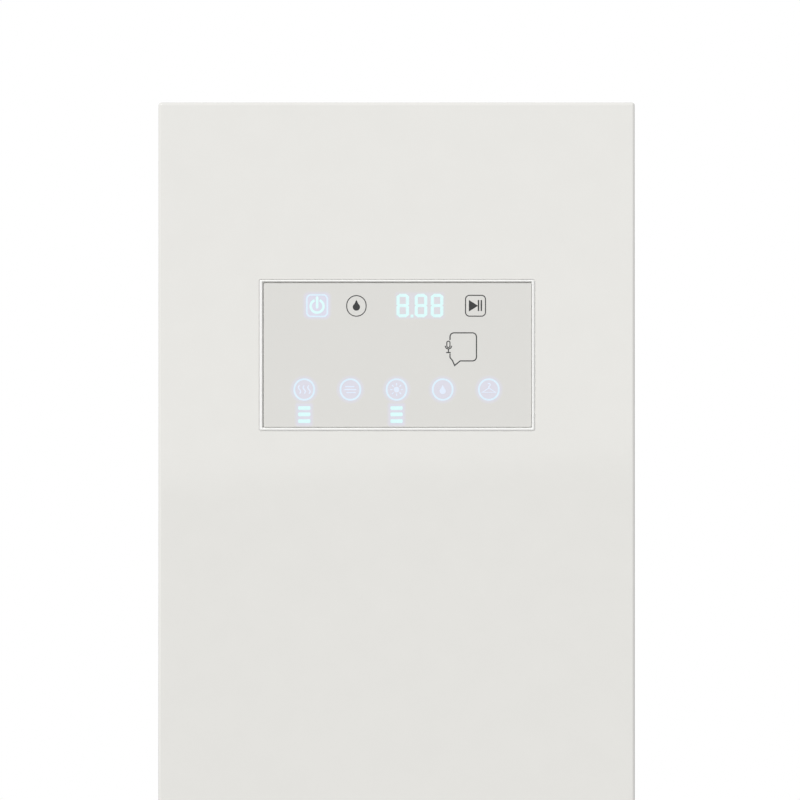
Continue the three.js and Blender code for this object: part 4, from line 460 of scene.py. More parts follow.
# Radii of the seat and the screw, and how far out from the sheet's face each radius lies.
seat_profile = [(2, -3), (2, -1.9), (4.3, 0.4), (4.3, 1)]
screw_profile = [(1.8, -3.4), (1.8, -1.9), (3.5, -0.25), (3.4, -0.1), (3.2, -0.05)]
seats = laid_out("screw_seats", border, made("seat", turned(0, 0, seat_profile, "y", 6)), **fastened)
screw = made("screw", turned(0, 0, screw_profile, "y", 6))
blades = ((2, 0.4), (0.4, 2))
cross = [made("blade", lofted([(-u, u, -v, v, 0.2, y) for y in (-1.6, 1)], steps=2)) for u, v in blades]
screws = laid_out("back_panel_screws", border, eased(carved(screw, *cross)), **fastened)
fitted(screws, "cabinet", None, "stainless")

air_slot = made("air_slot", lofted([(-160, -30, 147, 153, 2.85, y) for y in (289, 295)]))
air_slots = laid_out("air_slot_column", row, air_slot, Count=8, Step=(0, 0, 0.022), Finish=galvanised)
air_slots = laid_out("air_slots", row, air_slots, Count=2, Step=(0.19, 0, 0), Finish=galvanised)
inlet_hole = made("inlet_hole", lofted([(135.7, 164.3, 89.7, 110.3, 1, y) for y in (289, 295)]))
back = made("back_panel_sheet", lofted([(-222.5, 222.5, 22, 1846.7, 1, y) for y in (291.5, 292.5)]))
back = eased(carved(back, air_slots, inlet_hole, seats))
fitted(back, "cabinet", galvanised, "galvanised_sheet", "back_panel")
dressed(black_nylon, "power_inlet")

# Heat pump, fan and steam maker behind the tanks
# A welded and enamelled compressor, finned coils in a moulded duct, drawn copper lines,
# a die-cast steam block with its pump, and the control board on the left wall.

# Moulded mid-grey ABS: satin, with a fine grain.
grey_abs = surface("moulded_grey_abs", ("#888B8C", "#939697"), (0.48, 0.6), 0.9, 0.01)
# Stove enamel on the compressor's drawn shell: black with a soft orange peel.
stove_enamel = surface("black_stove_enamel", ("#17181A", "#212326"), (0.26, 0.4), 5, 0.02)
# Rolled fin stock: bright aluminium with faint lines across the fins.
fin_colours = ("#BDC1C4", "#D8DBDD")
fin_stock = surface("rolled_aluminium_fin_stock", fin_colours, (0.24, 0.4), 4, 0.004, 1, (1, 1, 12))
# Drawn copper, handled and a little tarnished.
copper = surface("drawn_copper_tube", ("#A8623F", "#CC8E6A"), (0.22, 0.42), 12, 0.004, metallic=1)
# Die-cast aluminium: a grey skin with fine pits.
cast_alloy = surface("die_cast_aluminium", ("#A4A7A9", "#BFC1C3"), (0.42, 0.6), 1.2, 0.03, metallic=1)
# Extruded silicone: a milky, slightly waxy hose.
silicone = surface("extruded_silicone", ("#D3CEC2", "#DEDACF"), (0.42, 0.56), 5, 0.01)
# Green solder mask over glass fibre: glossy, with the weave just telling.
solder_mask = surface("solder_masked_board", ("#24603C", "#31764D"), (0.26, 0.42), 1, 0.01)
dressed(grey_abs, "air_duct", "fan_scroll", "fan_wheel")
dressed(fin_stock, "evaporator_coil", "condenser_coil")
dressed(stove_enamel, "compressor")
dressed(copper, "suction_pipe", "discharge_pipe")
dressed(cast_alloy, "steam_generator")
dressed(galvanised, "fan_motor", "tank_bay")
dressed(silicone, "steam_hose", "feed_hose")
dressed(black_nylon, "feed_pump")
dressed(solder_mask, "control_board")

# Water tanks, caps and pull-out fronts
# Two blow-moulded tanks with 2.2 mm walls and quarter-turn black caps, each hooked to a folded and
# painted front with a finger pocket under its lower edge.


def folded_edge(box, face, rear, radius, turns=8):
    """Rings from the rear rim of a folded sheet forward and round its edges to its face."""
    rows = [(0, radius, rear)]
    for turn in range(turns + 1):
        swing = math.radians(90 * turn / turns)
        pull = radius * (1 - math.cos(swing))
        rows.append((pull, radius - pull, face + radius * (1 - math.sin(swing))))
    return insets(box, *rows)


# Blow-moulded clear copolyester with a cool tint: the light passes, softened by the mould's texture.
clear_tank = surface("blow_moulded_copolyester", ("#E6F0F2", "#EFF6F7"), (0.05, 0.12), 14, 0.004)
clear_shader = clear_tank.node_tree.nodes["Principled BSDF"]
clear_shader.inputs["Transmission Weight"].default_value = 0.96
clear_shader.inputs["IOR"].default_value = 1.57
door_face, door_rear = -291.9, -230.5
neck_y, bore_radius = -210, 14.3
skirt_radius, flute_depth, flute_count, skirt_points = 18.5, 0.5, 28, 168
for name, side in (("supply", -1), ("waste", 1)):
    neck_x = side * 102
    tank_box = (*sorted((side * 6, side * 198)), 66.3, 160)
    body_rings = insets(
        tank_box, (3, 9, -246), (1, 11, -245), (0, 12, -243), (0, 12, -29), (1, 11, -27), (3, 9, -26)
    )
    hollow_rings = insets(tank_box, (5, 7.5, -243.8), (2.2, 9.8, -241), (2.2, 9.8, -31), (5, 7.5, -28.2))
    tank = made(f"{name}_tank_shell", lofted(body_rings))
    neck = made("neck", turned(neck_x, neck_y, [(14, 158), (14, 169.4), (13.4, 170)]))
    joined = tank.modifiers.new("neck", "BOOLEAN")
    joined.object, joined.operation = neck, "UNION"
    tools = [made("hollow", lofted(hollow_rings))]
    tools.append(made("bore", turned(neck_x, neck_y, [(10, 150), (10, 175)])))
    if side > 0:
        tools.append(made("drain_mouth", turned(neck_x, -50, [(14, 150), (14, 165)])))
    carved(tank, *tools)
    bpy.data.objects.remove(neck)
    fitted(eased(tank), f"{name}_tank", clear_tank, "clear_tank", f"{name}_tank")

    # The cap's skirt is hollow up to the neck's rim, fluted outside, and carries a bar to grip.
    bore, flutes = [], []
    for step in range(skirt_points):
        spoke = math.tau * step / skirt_points
        radius = skirt_radius + flute_depth * math.cos(flute_count * spoke)
        bore.append((neck_x + bore_radius * math.cos(spoke), neck_y + bore_radius * math.sin(spoke)))
        flutes.append((neck_x + radius * math.cos(spoke), neck_y + radius * math.sin(spoke)))
    skirt = stacked([(bore, 170.3), (bore, 162), (flutes, 162), (flutes, 175.2)], "z")
    crown = turned(neck_x, neck_y, [(18.2, 174.6), (18.2, 175.9), (17.6, 176.7), (16.6, 177)])
    grip_box = (neck_x - 17.1, neck_x + 17.1, neck_y - 3, neck_y + 3)
    bar_rings = insets(grip_box, (0, 2.9, 176), (0, 2.9, 183.6), (0.5, 2.4, 184.7), (1.2, 1.7, 185))
    cap = made(f"{name}_cap_moulding", skirt, crown, lofted(bar_rings, "z"))
    fitted(eased(cap, 0.3), f"{name}_cap", black_nylon, "dark_plastic", f"{name}_tank_cap")

    front_box = (*sorted((side * 1.75, side * 222.5)), 62, 216.5)
    front = made(f"{name}_front_shell", lofted(folded_edge(front_box, door_face, -224, 3)))
    hollow = made("hollow", lofted(insets(front_box, (2, 1, -246.3), (2, 1, -215))))
    pocket_box = (*sorted((side * 47, side * 157)), -280.9, -250.9)
    pocket_rings = insets(pocket_box, (0, 6, 55), (0, 6, 78), (1.2, 4.8, 80.8), (4, 2, 82))
    pocket = made("pocket", lofted(pocket_rings, "z"))
    front = eased(carved(front, hollow, pocket))
    fitted(front, f"{name}_tank", white_paint, "painted_steel", f"{name}_tank_front")

# Garment chamber
# One vacuum-formed white liner with rounded corners, shelf ledges on its walls and a flange
# behind the front frame. The lamp, air grille, steam nozzle, filter and shelf clip or drop into it.

# Vacuum-formed ABS: satin white, with a slow waviness from the forming.
formed_abs = surface("vacuum_formed_abs", ("#DFE0DE", "#E4E5E3"), (0.36, 0.46), 26, 0.03)
tub = (-181.5, 181.5, 390.5, 1759.5)
# From the back wall forward along the inside, over the front flange and back along the outside.
liner_rows = [(10, 12, 250), (5, 14.5, 248.7), (1.3, 18.2, 245), (0, 19.5, 240), (0, 19.5, -219.6)]
liner_rows += [(-0.9, 20.4, -220.5), (-15.5, 35, -220.5), (-15.5, 35, -218.5), (-2, 21.5, -218.5)]
liner_rows += [(-2, 21.5, 240), (0.7, 19, 247.5), (10, 12, 252)]
ledge_boxes = [(*sorted((side * 169, side * 183)), 552, 560) for side in (-1, 1)]
ledges = [lofted(insets(box, (1, 1, -120), (0, 2, -119), (0, 2, 179), (1, 1, 180))) for box in ledge_boxes]
liner = made("chamber_liner_shell", lofted(insets(tub, *liner_rows)), *ledges)
liner_cuts = [
    made("filter_mouth", lofted([(-108.3, 108.3, -148.3, -41.7, 4, z) for z in (380, 400)], "z")),
    made("air_mouth", lofted([(-120, 120, 420, 480, 3, y) for y in (245, 256)])),
    made("nozzle_mouth", turned(-142, 160, [(8.3, 380), (8.3, 400)])),
    made("lamp_mouth", lofted([(-58, 58, -178, -152, 2, z) for z in (1750, 1770)], "z")),
]
for arm_x in (-90, 90):
    arm = (arm_x - 28.5, arm_x + 28.5, 6.5, 21.5)
    liner_cuts.append(made("arm_mouth", lofted(insets(arm, (0, 7.2, 1750), (0, 7.2, 1770)), "z")))
fitted(eased(carved(liner, *liner_cuts)), "cabinet", formed_abs, "inner_moulding", "chamber_liner")

# Injection-moulded polypropylene: soft white, almost without shine.
white_pp = surface("moulded_white_polypropylene", ("#DCDBD7", "#E2E1DD"), (0.38, 0.5), 1.5, 0.008)
dressed(white_pp, "air_outlet_grille")
nozzle_profile = [(3, 362.5), (8, 362.5), (8, 390), (15.2, 390.8), (16, 391.4), (15.8, 392.2), (14.4, 394.6)]
nozzle_profile += [(11.5, 397.4), (8, 399.2), (5, 399.8), (3, 399.4), (2.6, 398.4), (2.6, 364)]
nozzle = made("steam_nozzle_moulding", turned(-142, 160, nozzle_profile))
fitted(eased(nozzle), "cabinet", white_pp, "white_plastic", "steam_nozzle")

# Opal polycarbonate: milky, and aglow from the lamp behind it.
opal_lens = surface("opal_polycarbonate", ("#ECEFEF", "#F3F5F5"), (0.3, 0.4), 3, 0.01)
opal_shader = opal_lens.node_tree.nodes["Principled BSDF"]
opal_shader.inputs["Transmission Weight"].default_value = 0.35
opal_shader.inputs["IOR"].default_value = 1.58
opal_shader.inputs["Emission Color"].default_value = linear("#FFF8EC")
opal_shader.inputs["Emission Strength"].default_value = 0.85
lens_rows = [(5.3, 2, 1767.5), (5.3, 2, 1759.2), (0, 5, 1759.2), (0, 5, 1758.4)]
lens_rows += [(0.8, 4.4, 1757.6), (3, 3, 1757.2)]
lens = made("chamber_lamp_lens", lofted(insets((-63, 63, -183, -147), *lens_rows), "z"))
fitted(eased(lens), "cabinet", opal_lens, "lamp_lens", "chamber_lamp")

# The filter drops into the floor: a grey frame with a fine fabric screen and a finger bridge across it.
filter_rows = [(0, 4, 390.8), (0, 4, 393.2), (0.6, 3.4, 393.8), (14, 3, 393.8), (14, 3, 391.6)]
filter_rows += [(11, 3, 391.6), (11, 3, 342.8), (9, 4, 342.8), (9, 4, 390.8)]
filter_rim = lofted(insets((-117, 117, -157, -33), *filter_rows), "z", ends=False)
cross_bars = []
for x in (-70, 70):
    cross_bars.append(lofted([(x - 1.5, x + 1.5, 391.4, 393.4, 0.6, y) for y in (-145, -45)], steps=3))
bridge = [(-40, 391.2, 0.5), (-40, 409.8, 5), (40, 409.8, 5), (40, 391.2, 0.5)]
bridge += [(34, 391.2, 0.5), (34, 403.8, 2), (-34, 403.8, 2), (-34, 391.2, 0.5)]
bridge_foot = lofted([(-44, 44, -100, -90, 2, z) for z in (391.4, 393.8)], "z")
finger_bridge = pushed(bent(bridge), "y", -98, -92)
filter_frame = made("lint_filter_frame", filter_rim, *cross_bars, finger_bridge, bridge_foot)
fitted(eased(filter_frame, 0.4), "lint_filter", grey_abs, "grey_plastic", "lint_filter")
# Woven polyester screen, drawn at 2 mm from thread to thread, coarser than the real one so that it shows.
screen_thread = surface("woven_polyester_screen", ("#5F6365", "#74787A"), (0.5, 0.65), 1, 0.002)
thread_radius = 0.18
warp = made("thread", turned(-106, 392.2, [(thread_radius, -147), (thread_radius, -43)], "y", 1))
weft = made("thread", turned(-147, 392.4, [(thread_radius, -106), (thread_radius, 106)], "x", 1))
for name, thread, count, step in (("warp", warp, 107, (0.002, 0, 0)), ("weft", weft, 53, (0, 0.002, 0))):
    threads = laid_out(f"filter_screen_{name}", row, thread, Count=count, Step=step, Finish=screen_thread)
    fitted(threads, "lint_filter", None, "grey_plastic")

# The shelf is a moulded grid: a rounded frame and 13 bars that rest on the liner's ledges.
shelf_rows = [(0.8, 5.2, 560.3), (0, 6, 561.1), (0, 6, 567.5), (0.8, 5.2, 568.3)]
shelf_rows += [(11.2, 3, 568.3), (12, 2.4, 567.5), (12, 2.4, 561.1), (11.2, 3, 560.3)]
shelf = made("shelf_frame", lofted(insets((-180.3, 180.3, -120, 180), *shelf_rows), "z", ends=False))
fitted(eased(shelf), "shelf", white_pp, "white_plastic", "garment_shelf")
bar = eased(made("bar", lofted([(-147, -141, 560.3, 568.3, 2, y) for y in (-109, 169)], steps=4)))
bars = laid_out("shelf_bars", row, bar, Count=13, Step=(0.024, 0, 0), Finish=white_pp)
fitted(bars, "shelf", None, "white_plastic")

# Shaker drive and hanger bar
# A belt turns the crank above the ceiling, its pin slides the carriage along two ground rods,
# and the notched bar under the ceiling rides on the carriage's arms.

# Ground and brushed stainless steel: fine lines along the bar.
steel_colours = ("#B4B7B9", "#CFD2D4")
brushed = surface("brushed_stainless_steel", steel_colours, (0.24, 0.38), 0.8, 0.002, 1, (0.02, 1, 1))
# Moulded acetal pulleys: off-white and slightly waxy.
acetal = surface("moulded_acetal", ("#DDDCD6", "#E6E5E0"), (0.34, 0.46), 2, 0.004)
# Cast rubber belt: black, with a dull skin.
belt_rubber = surface("cast_black_rubber", ("#1F2021", "#2A2B2C"), (0.72, 0.88), 1.1, 0.02)
dressed(galvanised, "drive_plate", "shaker_motor", "hanger_carriage")
dressed(brushed, "guide_rod_front", "guide_rod_rear")
dressed(acetal, "crank_pulley", "motor_pulley")
dressed(belt_rubber, "drive_belt")

bar_top, notch_floor, notch_pitch = 1710, 1704, 38
bar_corners = [(-150, 1690, 3), (150, 1690, 3), (150, bar_top, 3)]
for notch in range(3, -4, -1):
    x = notch_pitch * notch
    bar_corners += [(x + 3.5, bar_top, 1.2), (x + 1.75, notch_floor, 1.4)]
    bar_corners += [(x - 1.75, notch_floor, 1.4), (x - 3.5, bar_top, 1.2)]
bar_corners.append((-150, bar_top, 3))
hanger_bar = made("hanger_bar_extrusion", pushed(bent(bar_corners), "y", 6, 22))
fitted(eased(hanger_bar, 0.8), "hanger", brushed, "stainless", "hanger_bar")

# Door
# A tray of coil-coated steel, 1 mm thick with 3 mm rounded edges, closed by a vacuum-formed liner
# whose raised field faces the chamber's mouth. It turns on two pins in moulded blocks at the left.

dressed(brushed, "hinge_bracket_top", "hinge_bracket_bottom")
dressed(black_nylon, "hinge_block_top", "hinge_block_bottom")
door_box = (-222.5, 222.5, 220, 1850)
window = (-128.4, 129.3, 1543.05, 1684.6)
window_rows = [(-0.35, 2.1, 0), (-0.1, 1.9, 0.1), (0, 1.8, 0.35), (0, 1.8, 1)]
inner_rows = [(3, 0.2, door_face + 1), (1.6, 1.4, door_face + 1.6), (1, 2, door_face + 3), (1, 2, door_rear)]
skin_rings = folded_edge(door_box, door_face, door_rear, 3)
skin_rings += insets(window, *((gap, radius, door_face + depth) for gap, radius, depth in window_rows))
skin_rings += insets(door_box, *inner_rows)


def hinge_recesses():
    """Tools for the pockets in the door's ends, where the hinge arms swing."""
    boxes = ((-230, -195, 1836, 1855), (-230, -195, 215, 234))
    return [made("recess", lofted(insets(box, (0, 0, -277.5), (0, 0, -220)), steps=1)) for box in boxes]


door_skin = made("door_skin_sheet", lofted(skin_rings, ends=False))
cup = (-275.4, -241.4, 860, 1120)
grip_hole = made("grip_hole", lofted(insets(cup, (0, 10, 215), (0, 10, 230)), "x"))
door_skin = eased(carved(door_skin, *hinge_recesses(), grip_hole))
fitted(door_skin, "door", white_paint, "painted_steel", "door_skin")

inner_box, field = (-221.2, 221.2, 221.3, 1848.7), (-171, 171, 401, 1749)
field_rows = [(-1, 19, -230.5), (0, 18, -230.1), (0.3, 17.7, -227.8), (1, 17, -226.9), (2.4, 15.6, -226.5)]
liner_rings = insets(field, (2, 16, -228.5), (2, 16, -232.5))
liner_rings += insets(inner_box, (0, 0.5, -232.5), (0, 0.5, -230.5)) + insets(field, *field_rows)
door_liner = made("door_liner_sheet", lofted(liner_rings))
fitted(eased(carved(door_liner, *hinge_recesses())), "door", formed_abs, "inner_moulding", "door_liner")

# Extruded grey PVC with a magnet in its hollow: a foot in the liner, a bellows and a sealing face.
soft_pvc = surface("extruded_soft_pvc", ("#A3A5A5", "#ADAFAF"), (0.55, 0.7), 2.5, 0.01)
# How far each point of its section lies outside the opening, and its depth.
gasket_section = [(3, -230.2), (3, -228.2), (4, -227), (6.4, -226.6), (7.2, -226)]
gasket_section += [(7.2, -225.4), (5.9, -224.8), (5.5, -224), (5.5, -223.1), (6.2, -222.35)]
gasket_section += [(10.8, -222.35), (11.5, -223.1), (11.5, -224), (11.1, -224.8), (9.8, -225.4)]
gasket_section += [(9.8, -226), (10.6, -226.6), (13, -227), (14, -228.2), (14, -230.2)]
gasket_rings = insets(opening, *((-out, 18 + out, y) for out, y in gasket_section))
gasket = made("door_gasket_extrusion", lofted(gasket_rings, ends=False))
fitted(eased(gasket), "door", soft_pvc, "gasket_rubber", "door_gasket")

cup_rows = [(4.5, 6, 199.5), (2.9, 7.2, 200.2), (2.3, 7.7, 202), (2.3, 7.7, 221.2), (1.9, 8.1, 222.2)]
cup_rows += [(1.2, 8.8, 222.5), (0.5, 9.5, 222.3), (0.3, 9.7, 221.7), (0.3, 9.7, 199), (1.8, 8.2, 197.5)]
cup_flange = insets(cup, (0.4, 9.6, 219), (-5, 15, 219), (-5, 15, 221), (0.4, 9.6, 221))
grip = made("door_grip_moulding", lofted(insets(cup, *cup_rows), "x"), lofted(cup_flange, "x", ends=False))
fitted(eased(grip), "door", grey_abs, "grey_plastic", "door_grip")

# Control panel
# A satin white frame clipped into the door's window, 0.6 mm proud of the sheet, round a back-printed
# acrylic pane. The board with its lamps and digits stands in a carrier behind it.

dressed(black_nylon, "board_carrier")
dressed(solder_mask, "display_board")
# Satin-painted ABS: a cleaner white than the door.
satin_white = surface("satin_painted_abs", ("#F6F6F4", "#F9F9F7"), (0.36, 0.46), 1.2, 0.002)
panel_box, mouth_box = (-128.1, 129, 1543.35, 1684.3), (-125.05, 126.2, 1546.2, 1682.2)
outer_rows = [(0, 1.5, -286.4), (0, 1.5, -291.4), (0.9, 1.1, -292.4), (1.1, 1, -292.5)]
mouth_rows = [(-0.8, 0.6, -292.5), (-0.6, 0.5, -292.42), (-0.1, 0.4, -291.7), (0, 0.4, -290.2)]
mouth_rows += [(0.4, 0.2, -289.8), (0.4, 0.2, -288.4)]
frame_rings = insets(panel_box, *outer_rows) + insets(mouth_box, *mouth_rows)
frame_rings += insets(panel_box, (9, 0.2, -288.4), (9, 0.2, -286.4))
rear_flange = insets(panel_box, (-5, 6, -290.6), (1, 1, -290.6), (1, 1, -286.4), (-5, 6, -286.4))
panel_frame = made("panel_frame_moulding", lofted(frame_rings, ends=False), lofted(rear_flange, ends=False))
fitted(eased(panel_frame), "door", satin_white, "bezel_plastic", "panel_bezel")

pane_rows = [(0.9, 1.2, -288.7), (0.9, 1.2, -289.5), (0, 1.5, -289.7), (0, 1.5, -291.4), (0.2, 1.3, -291.6)]
pane = made("touch_pane", lofted(insets((-124.15, 125.8, 1546.7, 1681.2), *pane_rows)))
# Back-printed acrylic: an even grey-white print seen through a clear, flat gloss.
acrylic = surface("back_printed_acrylic", ("#DDDCD8", "#DFDEDA"), (0.3, 0.36), 60, 0.0002)
pane_tree = acrylic.node_tree
pane_shader = pane_tree.nodes["Principled BSDF"]
pane_shader.inputs["Specular IOR Level"].default_value = 0
pane_shader.inputs["Coat Weight"].default_value = 1
pane_shader.inputs["Coat Roughness"].default_value = 0.04
pane_shader.inputs["Coat IOR"].default_value = 1.49

# The pane is tinted lilac round the lit marks, as if their light spread in it.
# The tint dies out about 4 mm from each mark.
upper_z, ring_z, key_pitch, power_x = 1660.2, 1581.8, 43.1, -74.2
level_places = (1564.5, 1558.6, 1552.3)
glow_places = [
    # centre x and z, pitch of the repeats, first and last x, half width and height,
    # where the tint starts to fade and ends, strength
    (0, ring_z, key_pitch, -107.7, 107.7, 0, 0, 9.5, 14.5, 0.48),
    (0, level_places[1], 2 * key_pitch, -129, 43, 5.5, 8.5, 0, 4.5, 0.5),
    (power_x, upper_z, 0, -124, 124, 7.5, 7.5, 2, 7, 0.62),
    (21.9, upper_z, 0, -124, 124, 21, 10.5, 0, 3.5, 0.3),
]
spot = add(pane_tree, "ShaderNodeTexCoord").outputs["Object"]
spread = None
for x, z, pitch, first, last, half_x, half_z, near, far, strength in glow_places:
    # How far a point of the pane lies outside the nearest repeat.
    steps = [("MAXIMUM", (first / 1000, -1, 1)), ("MINIMUM", (last / 1000, 1, 2))]
    steps.append(("SUBTRACT", (x / 1000, 0, z / 1000)))
    if pitch:
        half = pitch / 2000
        steps.append(("WRAP", (half, 1, 1), (-half, -1, -1)))
    steps += [("ABSOLUTE",), ("SUBTRACT", (half_x / 1000, 1, half_z / 1000))]
    steps += [("MAXIMUM", (0, 0, 0)), ("LENGTH",)]
    beyond = spot
    for operation, *others in steps:
        sockets = dict(enumerate((beyond, *others)))
        beyond = add(pane_tree, "ShaderNodeVectorMath", sockets, operation=operation)
    halo = add(
        pane_tree,
        "ShaderNodeMapRange",
        {0: beyond.outputs["Value"], 1: near / 1000, 2: far / 1000, 3: strength, 4: 0},
        interpolation_type="SMOOTHSTEP",
    )
    spread = add(pane_tree, "ShaderNodeMath", {0: halo, 1: spread}, operation="MAXIMUM") if spread else halo
printed = pane_shader.inputs["Base Color"].links[0].from_socket
tinted = add(pane_tree, "ShaderNodeMix", {0: spread, 6: printed, 7: linear("#DFDEF8")}, data_type="RGBA")
pane_tree.links.new(tinted.outputs[2], pane_shader.inputs["Base Color"])
fitted(eased(pane), "door", acrylic, "touch_acrylic", "touch_panel")

# Marks on the pane
# Screen-printed: the lit ones are windows in the print that lamps behind them fill with cold white,
# and the others are dark grey ink. Pictures stand for the programs and for what each lamp tells.

ink_face, ink_rear = -291.65, -291.56


def outlined(x, z, half_x, half_z, radius, stroke, steps=12):
    """A rounded rectangle or a ring drawn as a line."""
    thin = max(radius - stroke, 0.1)
    rows = ((0, radius, ink_face), (stroke, thin, ink_face), (stroke, thin, ink_rear), (0, radius, ink_rear))
    box = (x - half_x, x + half_x, z - half_z, z + half_z)
    return lofted(insets(box, *rows), steps=steps, ends=False)


def filled(x, z, half_x, half_z, radius=0.5):
    """A filled bar with rounded ends."""
    box = (x - half_x, x + half_x, z - half_z, z + half_z)
    return lofted(insets(box, (0, radius, ink_face), (0, radius, ink_rear)), steps=4)


def printed_shape(points):
    """A filled shape from its corners."""
    return pushed(points, "y", ink_rear, ink_face)


def arc(x, z, radius, start, sweep, steps):
    """Points round a centre, from a start over a sweep, both in degrees from +X."""
    turns = [math.radians(start + sweep * step / steps) for step in range(steps + 1)]
    return [(x + radius * math.cos(turn), z + radius * math.sin(turn)) for turn in turns]


def swept(x, z, radius, stroke, start, sweep, steps=32):
    """Part of a ring."""
    inner = arc(x, z, radius - stroke, start, sweep, steps)
    return printed_shape(arc(x, z, radius, start, sweep, steps) + inner[::-1])


def drop(x, z, size):
    """A water drop with its tip up."""
    return printed_shape(arc(x, z, size, -235, 290, 24) + [(x, z + 2 * size)])


def stroked(path, stroke):
    """A path drawn as a line of even width."""
    spots = [Vector(spot) for spot in path]
    points, faces = [], []
    for place, here in enumerate(spots):
        on = (spots[min(place + 1, len(spots) - 1)] - here).normalized()
        back = (here - spots[max(place - 1, 0)]).normalized()
        along = (on + back).normalized()
        across = Vector((-along.y, along.x)) * stroke / 2 / max(along.dot(back if place else on), 0.5)
        for side, depth in ((1, ink_face), (-1, ink_face), (-1, ink_rear), (1, ink_rear)):
            points.append((here.x + side * across.x, depth, here.y + side * across.y))
    for near in range(0, len(points) - 4, 4):
        for side in range(4):
            after = (side + 1) % 4
            faces.append((near + side, near + after, near + 4 + after, near + 4 + side))
    return points, faces + [(0, 1, 2, 3), tuple(range(len(points) - 4, len(points)))]


def lamp_light(name, code):
    """A window in the print with a lamp behind it, in the lamp's colour, up to 4 % weaker in places."""
    material = surface(name, ("#101112", "#141516"), (0.4, 0.5), 5, 0)
    tree = material.node_tree
    shader = tree.nodes["Principled BSDF"]
    shader.inputs["Specular IOR Level"].default_value = 0
    dimmest, mottle_size = 0.96, 2.5
    place = add(tree, "ShaderNodeTexCoord").outputs["Object"]
    mottle = add(tree, "ShaderNodeTexNoise", {"Vector": place, "Scale": 1000 / mottle_size, "Detail": 1})
    dim = [share * dimmest for share in linear(code)[:3]] + [1]
    lit = add(tree, "ShaderNodeMix", {0: mottle, 6: dim, 7: linear(code)}, data_type="RGBA")
    tree.links.new(lit.outputs[2], shader.inputs["Emission Color"])
    shader.inputs["Emission Strength"].default_value = 1
    return material


def marked(name, finish, marks):
    """Marks that share a finish, as one piece on the pane."""
    return fitted(eased(made(name, *marks)), "door", finish, "touch_acrylic")


# Three seven-segment digits with a point after the first.
digit_marks = [filled(14.4, upper_z - 9.8, 1.4, 1.4, 0.6)]
digit_x, digit_z, stroke = 5.9, 11, 3
# Half the length of a level segment and of an upright one, short of the corners by a gap.
level_half, upright_half = digit_x - 1.35, digit_z / 2 - 0.25
# Each segment's place across and up as a share of the digit, and whether it stands upright.
segments = ((0, 1, 0), (0, 0, 0), (0, -1, 0), (-1, 0.5, 1), (1, 0.5, 1), (-1, -0.5, 1), (1, -0.5, 1))
for x in (5.8, 22.8, 37.8):
    for across, up, upright in segments:
        middle_x, middle_z = x + across * (digit_x - stroke / 2), upper_z + up * (digit_z - stroke / 2)
        length = upright_half if upright else level_half
        end = length - stroke / 2
        corners = [(-length, 0), (-end, -stroke / 2), (end, -stroke / 2)]
        corners += [(length, 0), (end, stroke / 2), (-end, stroke / 2)]
        if upright:
            corners = [(b, a) for a, b in corners]
        digit_marks.append(printed_shape([(middle_x + a, middle_z + b) for a, b in corners]))
# The power sign: a ring open at the top round an upright bar.
digit_marks.append(swept(power_x, upper_z - 0.6, 7.2, 2.4, 113, 314))
digit_marks.append(filled(power_x, upper_z + 2.9, 1.2, 5.7, 1))
marked("digits_lit", lamp_light("cyan_segment_light", "#E1FFFF"), digit_marks)

ring_marks = [outlined(place * key_pitch, ring_z, 10.1, 10.45, 10.05, 1.7) for place in range(-2, 3)]
ring_marks.append(outlined(power_x, upper_z - 0.1, 10.3, 10.8, 4.6, 1.5))
marked("keys_lit", lamp_light("cold_white_key_light", "#E1F3FF"), ring_marks)

level_marks = [filled(x, z, 5.8, 1.8, 1.2) for x in (-2 * key_pitch, 0) for z in level_places]
marked("levels_lit", lamp_light("pale_cyan_level_light", "#DFFFFF"), level_marks)

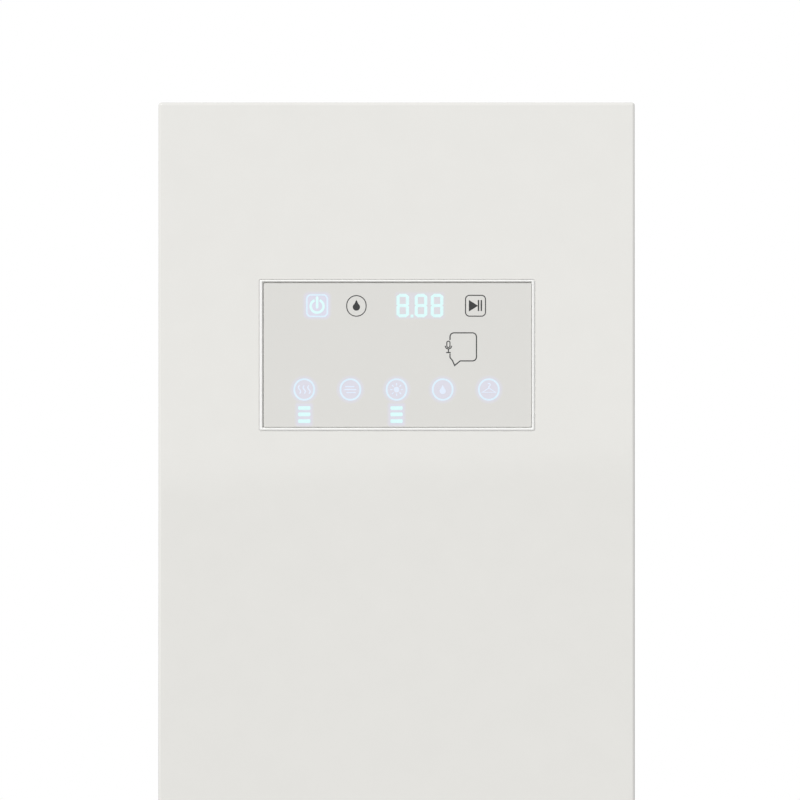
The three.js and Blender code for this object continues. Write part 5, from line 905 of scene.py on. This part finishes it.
# Programs, left to right: rising steam, a breeze, a sun for drying, a drop and a hanger.
picture_marks = []
for curl in (-4.4, 0, 4.4):
    wave = [(1.1 * math.sin(math.tau * step / 12), -3.8 + 7.6 * step / 12) for step in range(13)]
    picture_marks.append(stroked([(-2 * key_pitch + curl + x, ring_z + z) for x, z in wave], 1.1))
for shift, half_x, up in ((-0.6, 4.4, 2.8), (0, 5.6, 0), (0.6, 4.4, -2.8)):
    picture_marks.append(filled(shift - key_pitch, ring_z + up, half_x, 0.6))
picture_marks.append(swept(0, ring_z, 2.6, 2.5, 0, 359, 24))
for ray in range(8):
    pointing = Vector((math.cos(math.tau * ray / 8), math.sin(math.tau * ray / 8)))
    centre = Vector((0, ring_z))
    picture_marks.append(stroked([tuple(centre + pointing * 3.8), tuple(centre + pointing * 6)], 1))
picture_marks.append(drop(key_pitch, ring_z - 1.4, 2.9))
hanger_path = [(0, 3.2), (0, 1.4), (6.2, -2.6), (-6.2, -2.6), (-0.5, 1.1)]
picture_marks.append(stroked([(2 * key_pitch + x, ring_z + z) for x, z in hanger_path], 1))
picture_marks.append(swept(2 * key_pitch, ring_z + 4.4, 1.7, 0.9, -90, 220, 12))
marked("pictures_lit", lamp_light("soft_white_picture_light", "#E6F0FF"), picture_marks)

# Screen ink: dense dark grey with a slightly uneven edge tone.
dark_ink = surface("screen_printed_dark_ink", ("#222324", "#2B2C2D"), (0.4, 0.5), 0.8, 0)
water_x, play_x, voice_x = -37.5, 73.7, 48.4
play_z = upper_z - 0.2
dark_marks = [
    outlined(water_x, upper_z - 0.35, 9.5, 10.05, 9.45, 0.9),
    drop(water_x, upper_z - 1.4, 3.4),
    outlined(play_x, play_z, 9.8, 10.2, 4.2, 0.95),
    printed_shape([(play_x - 6.2, play_z - 5.4), (play_x + 2.4, play_z), (play_x - 6.2, play_z + 5.4)]),
    filled(play_x + 2.8, upper_z, 0.65, 5.1, 0.2),
    filled(play_x + 5.45, upper_z, 0.65, 5.1, 0.2),
]
# A speech bubble with a microphone at its open side stands for the voice control.
bubble = [(49.9, 1627.9, 0), (49.9, 1634.7, 3.7), (74.6, 1634.7, 3.7), (74.6, 1608.5, 3.7)]
bubble += [(59.4, 1608.5, 0.4), (54.2, 1604.2, 0), (52.2, 1608.9, 0.3), (49.9, 1611.6, 1), (49.9, 1615.4, 0)]
dark_marks += [
    stroked(bent(bubble), 1.05),
    outlined(voice_x, 1624, 1.95, 3.4, 1.9, 0.95, 8),
    swept(voice_x, 1622.6, 3.4, 0.95, 180, 180, 16),
    filled(voice_x, 1618.1, 0.5, 1.7, 0.2),
    filled(voice_x, 1616.3, 2.1, 0.5, 0.2),
]
marked("marks_printed", dark_ink, dark_marks)
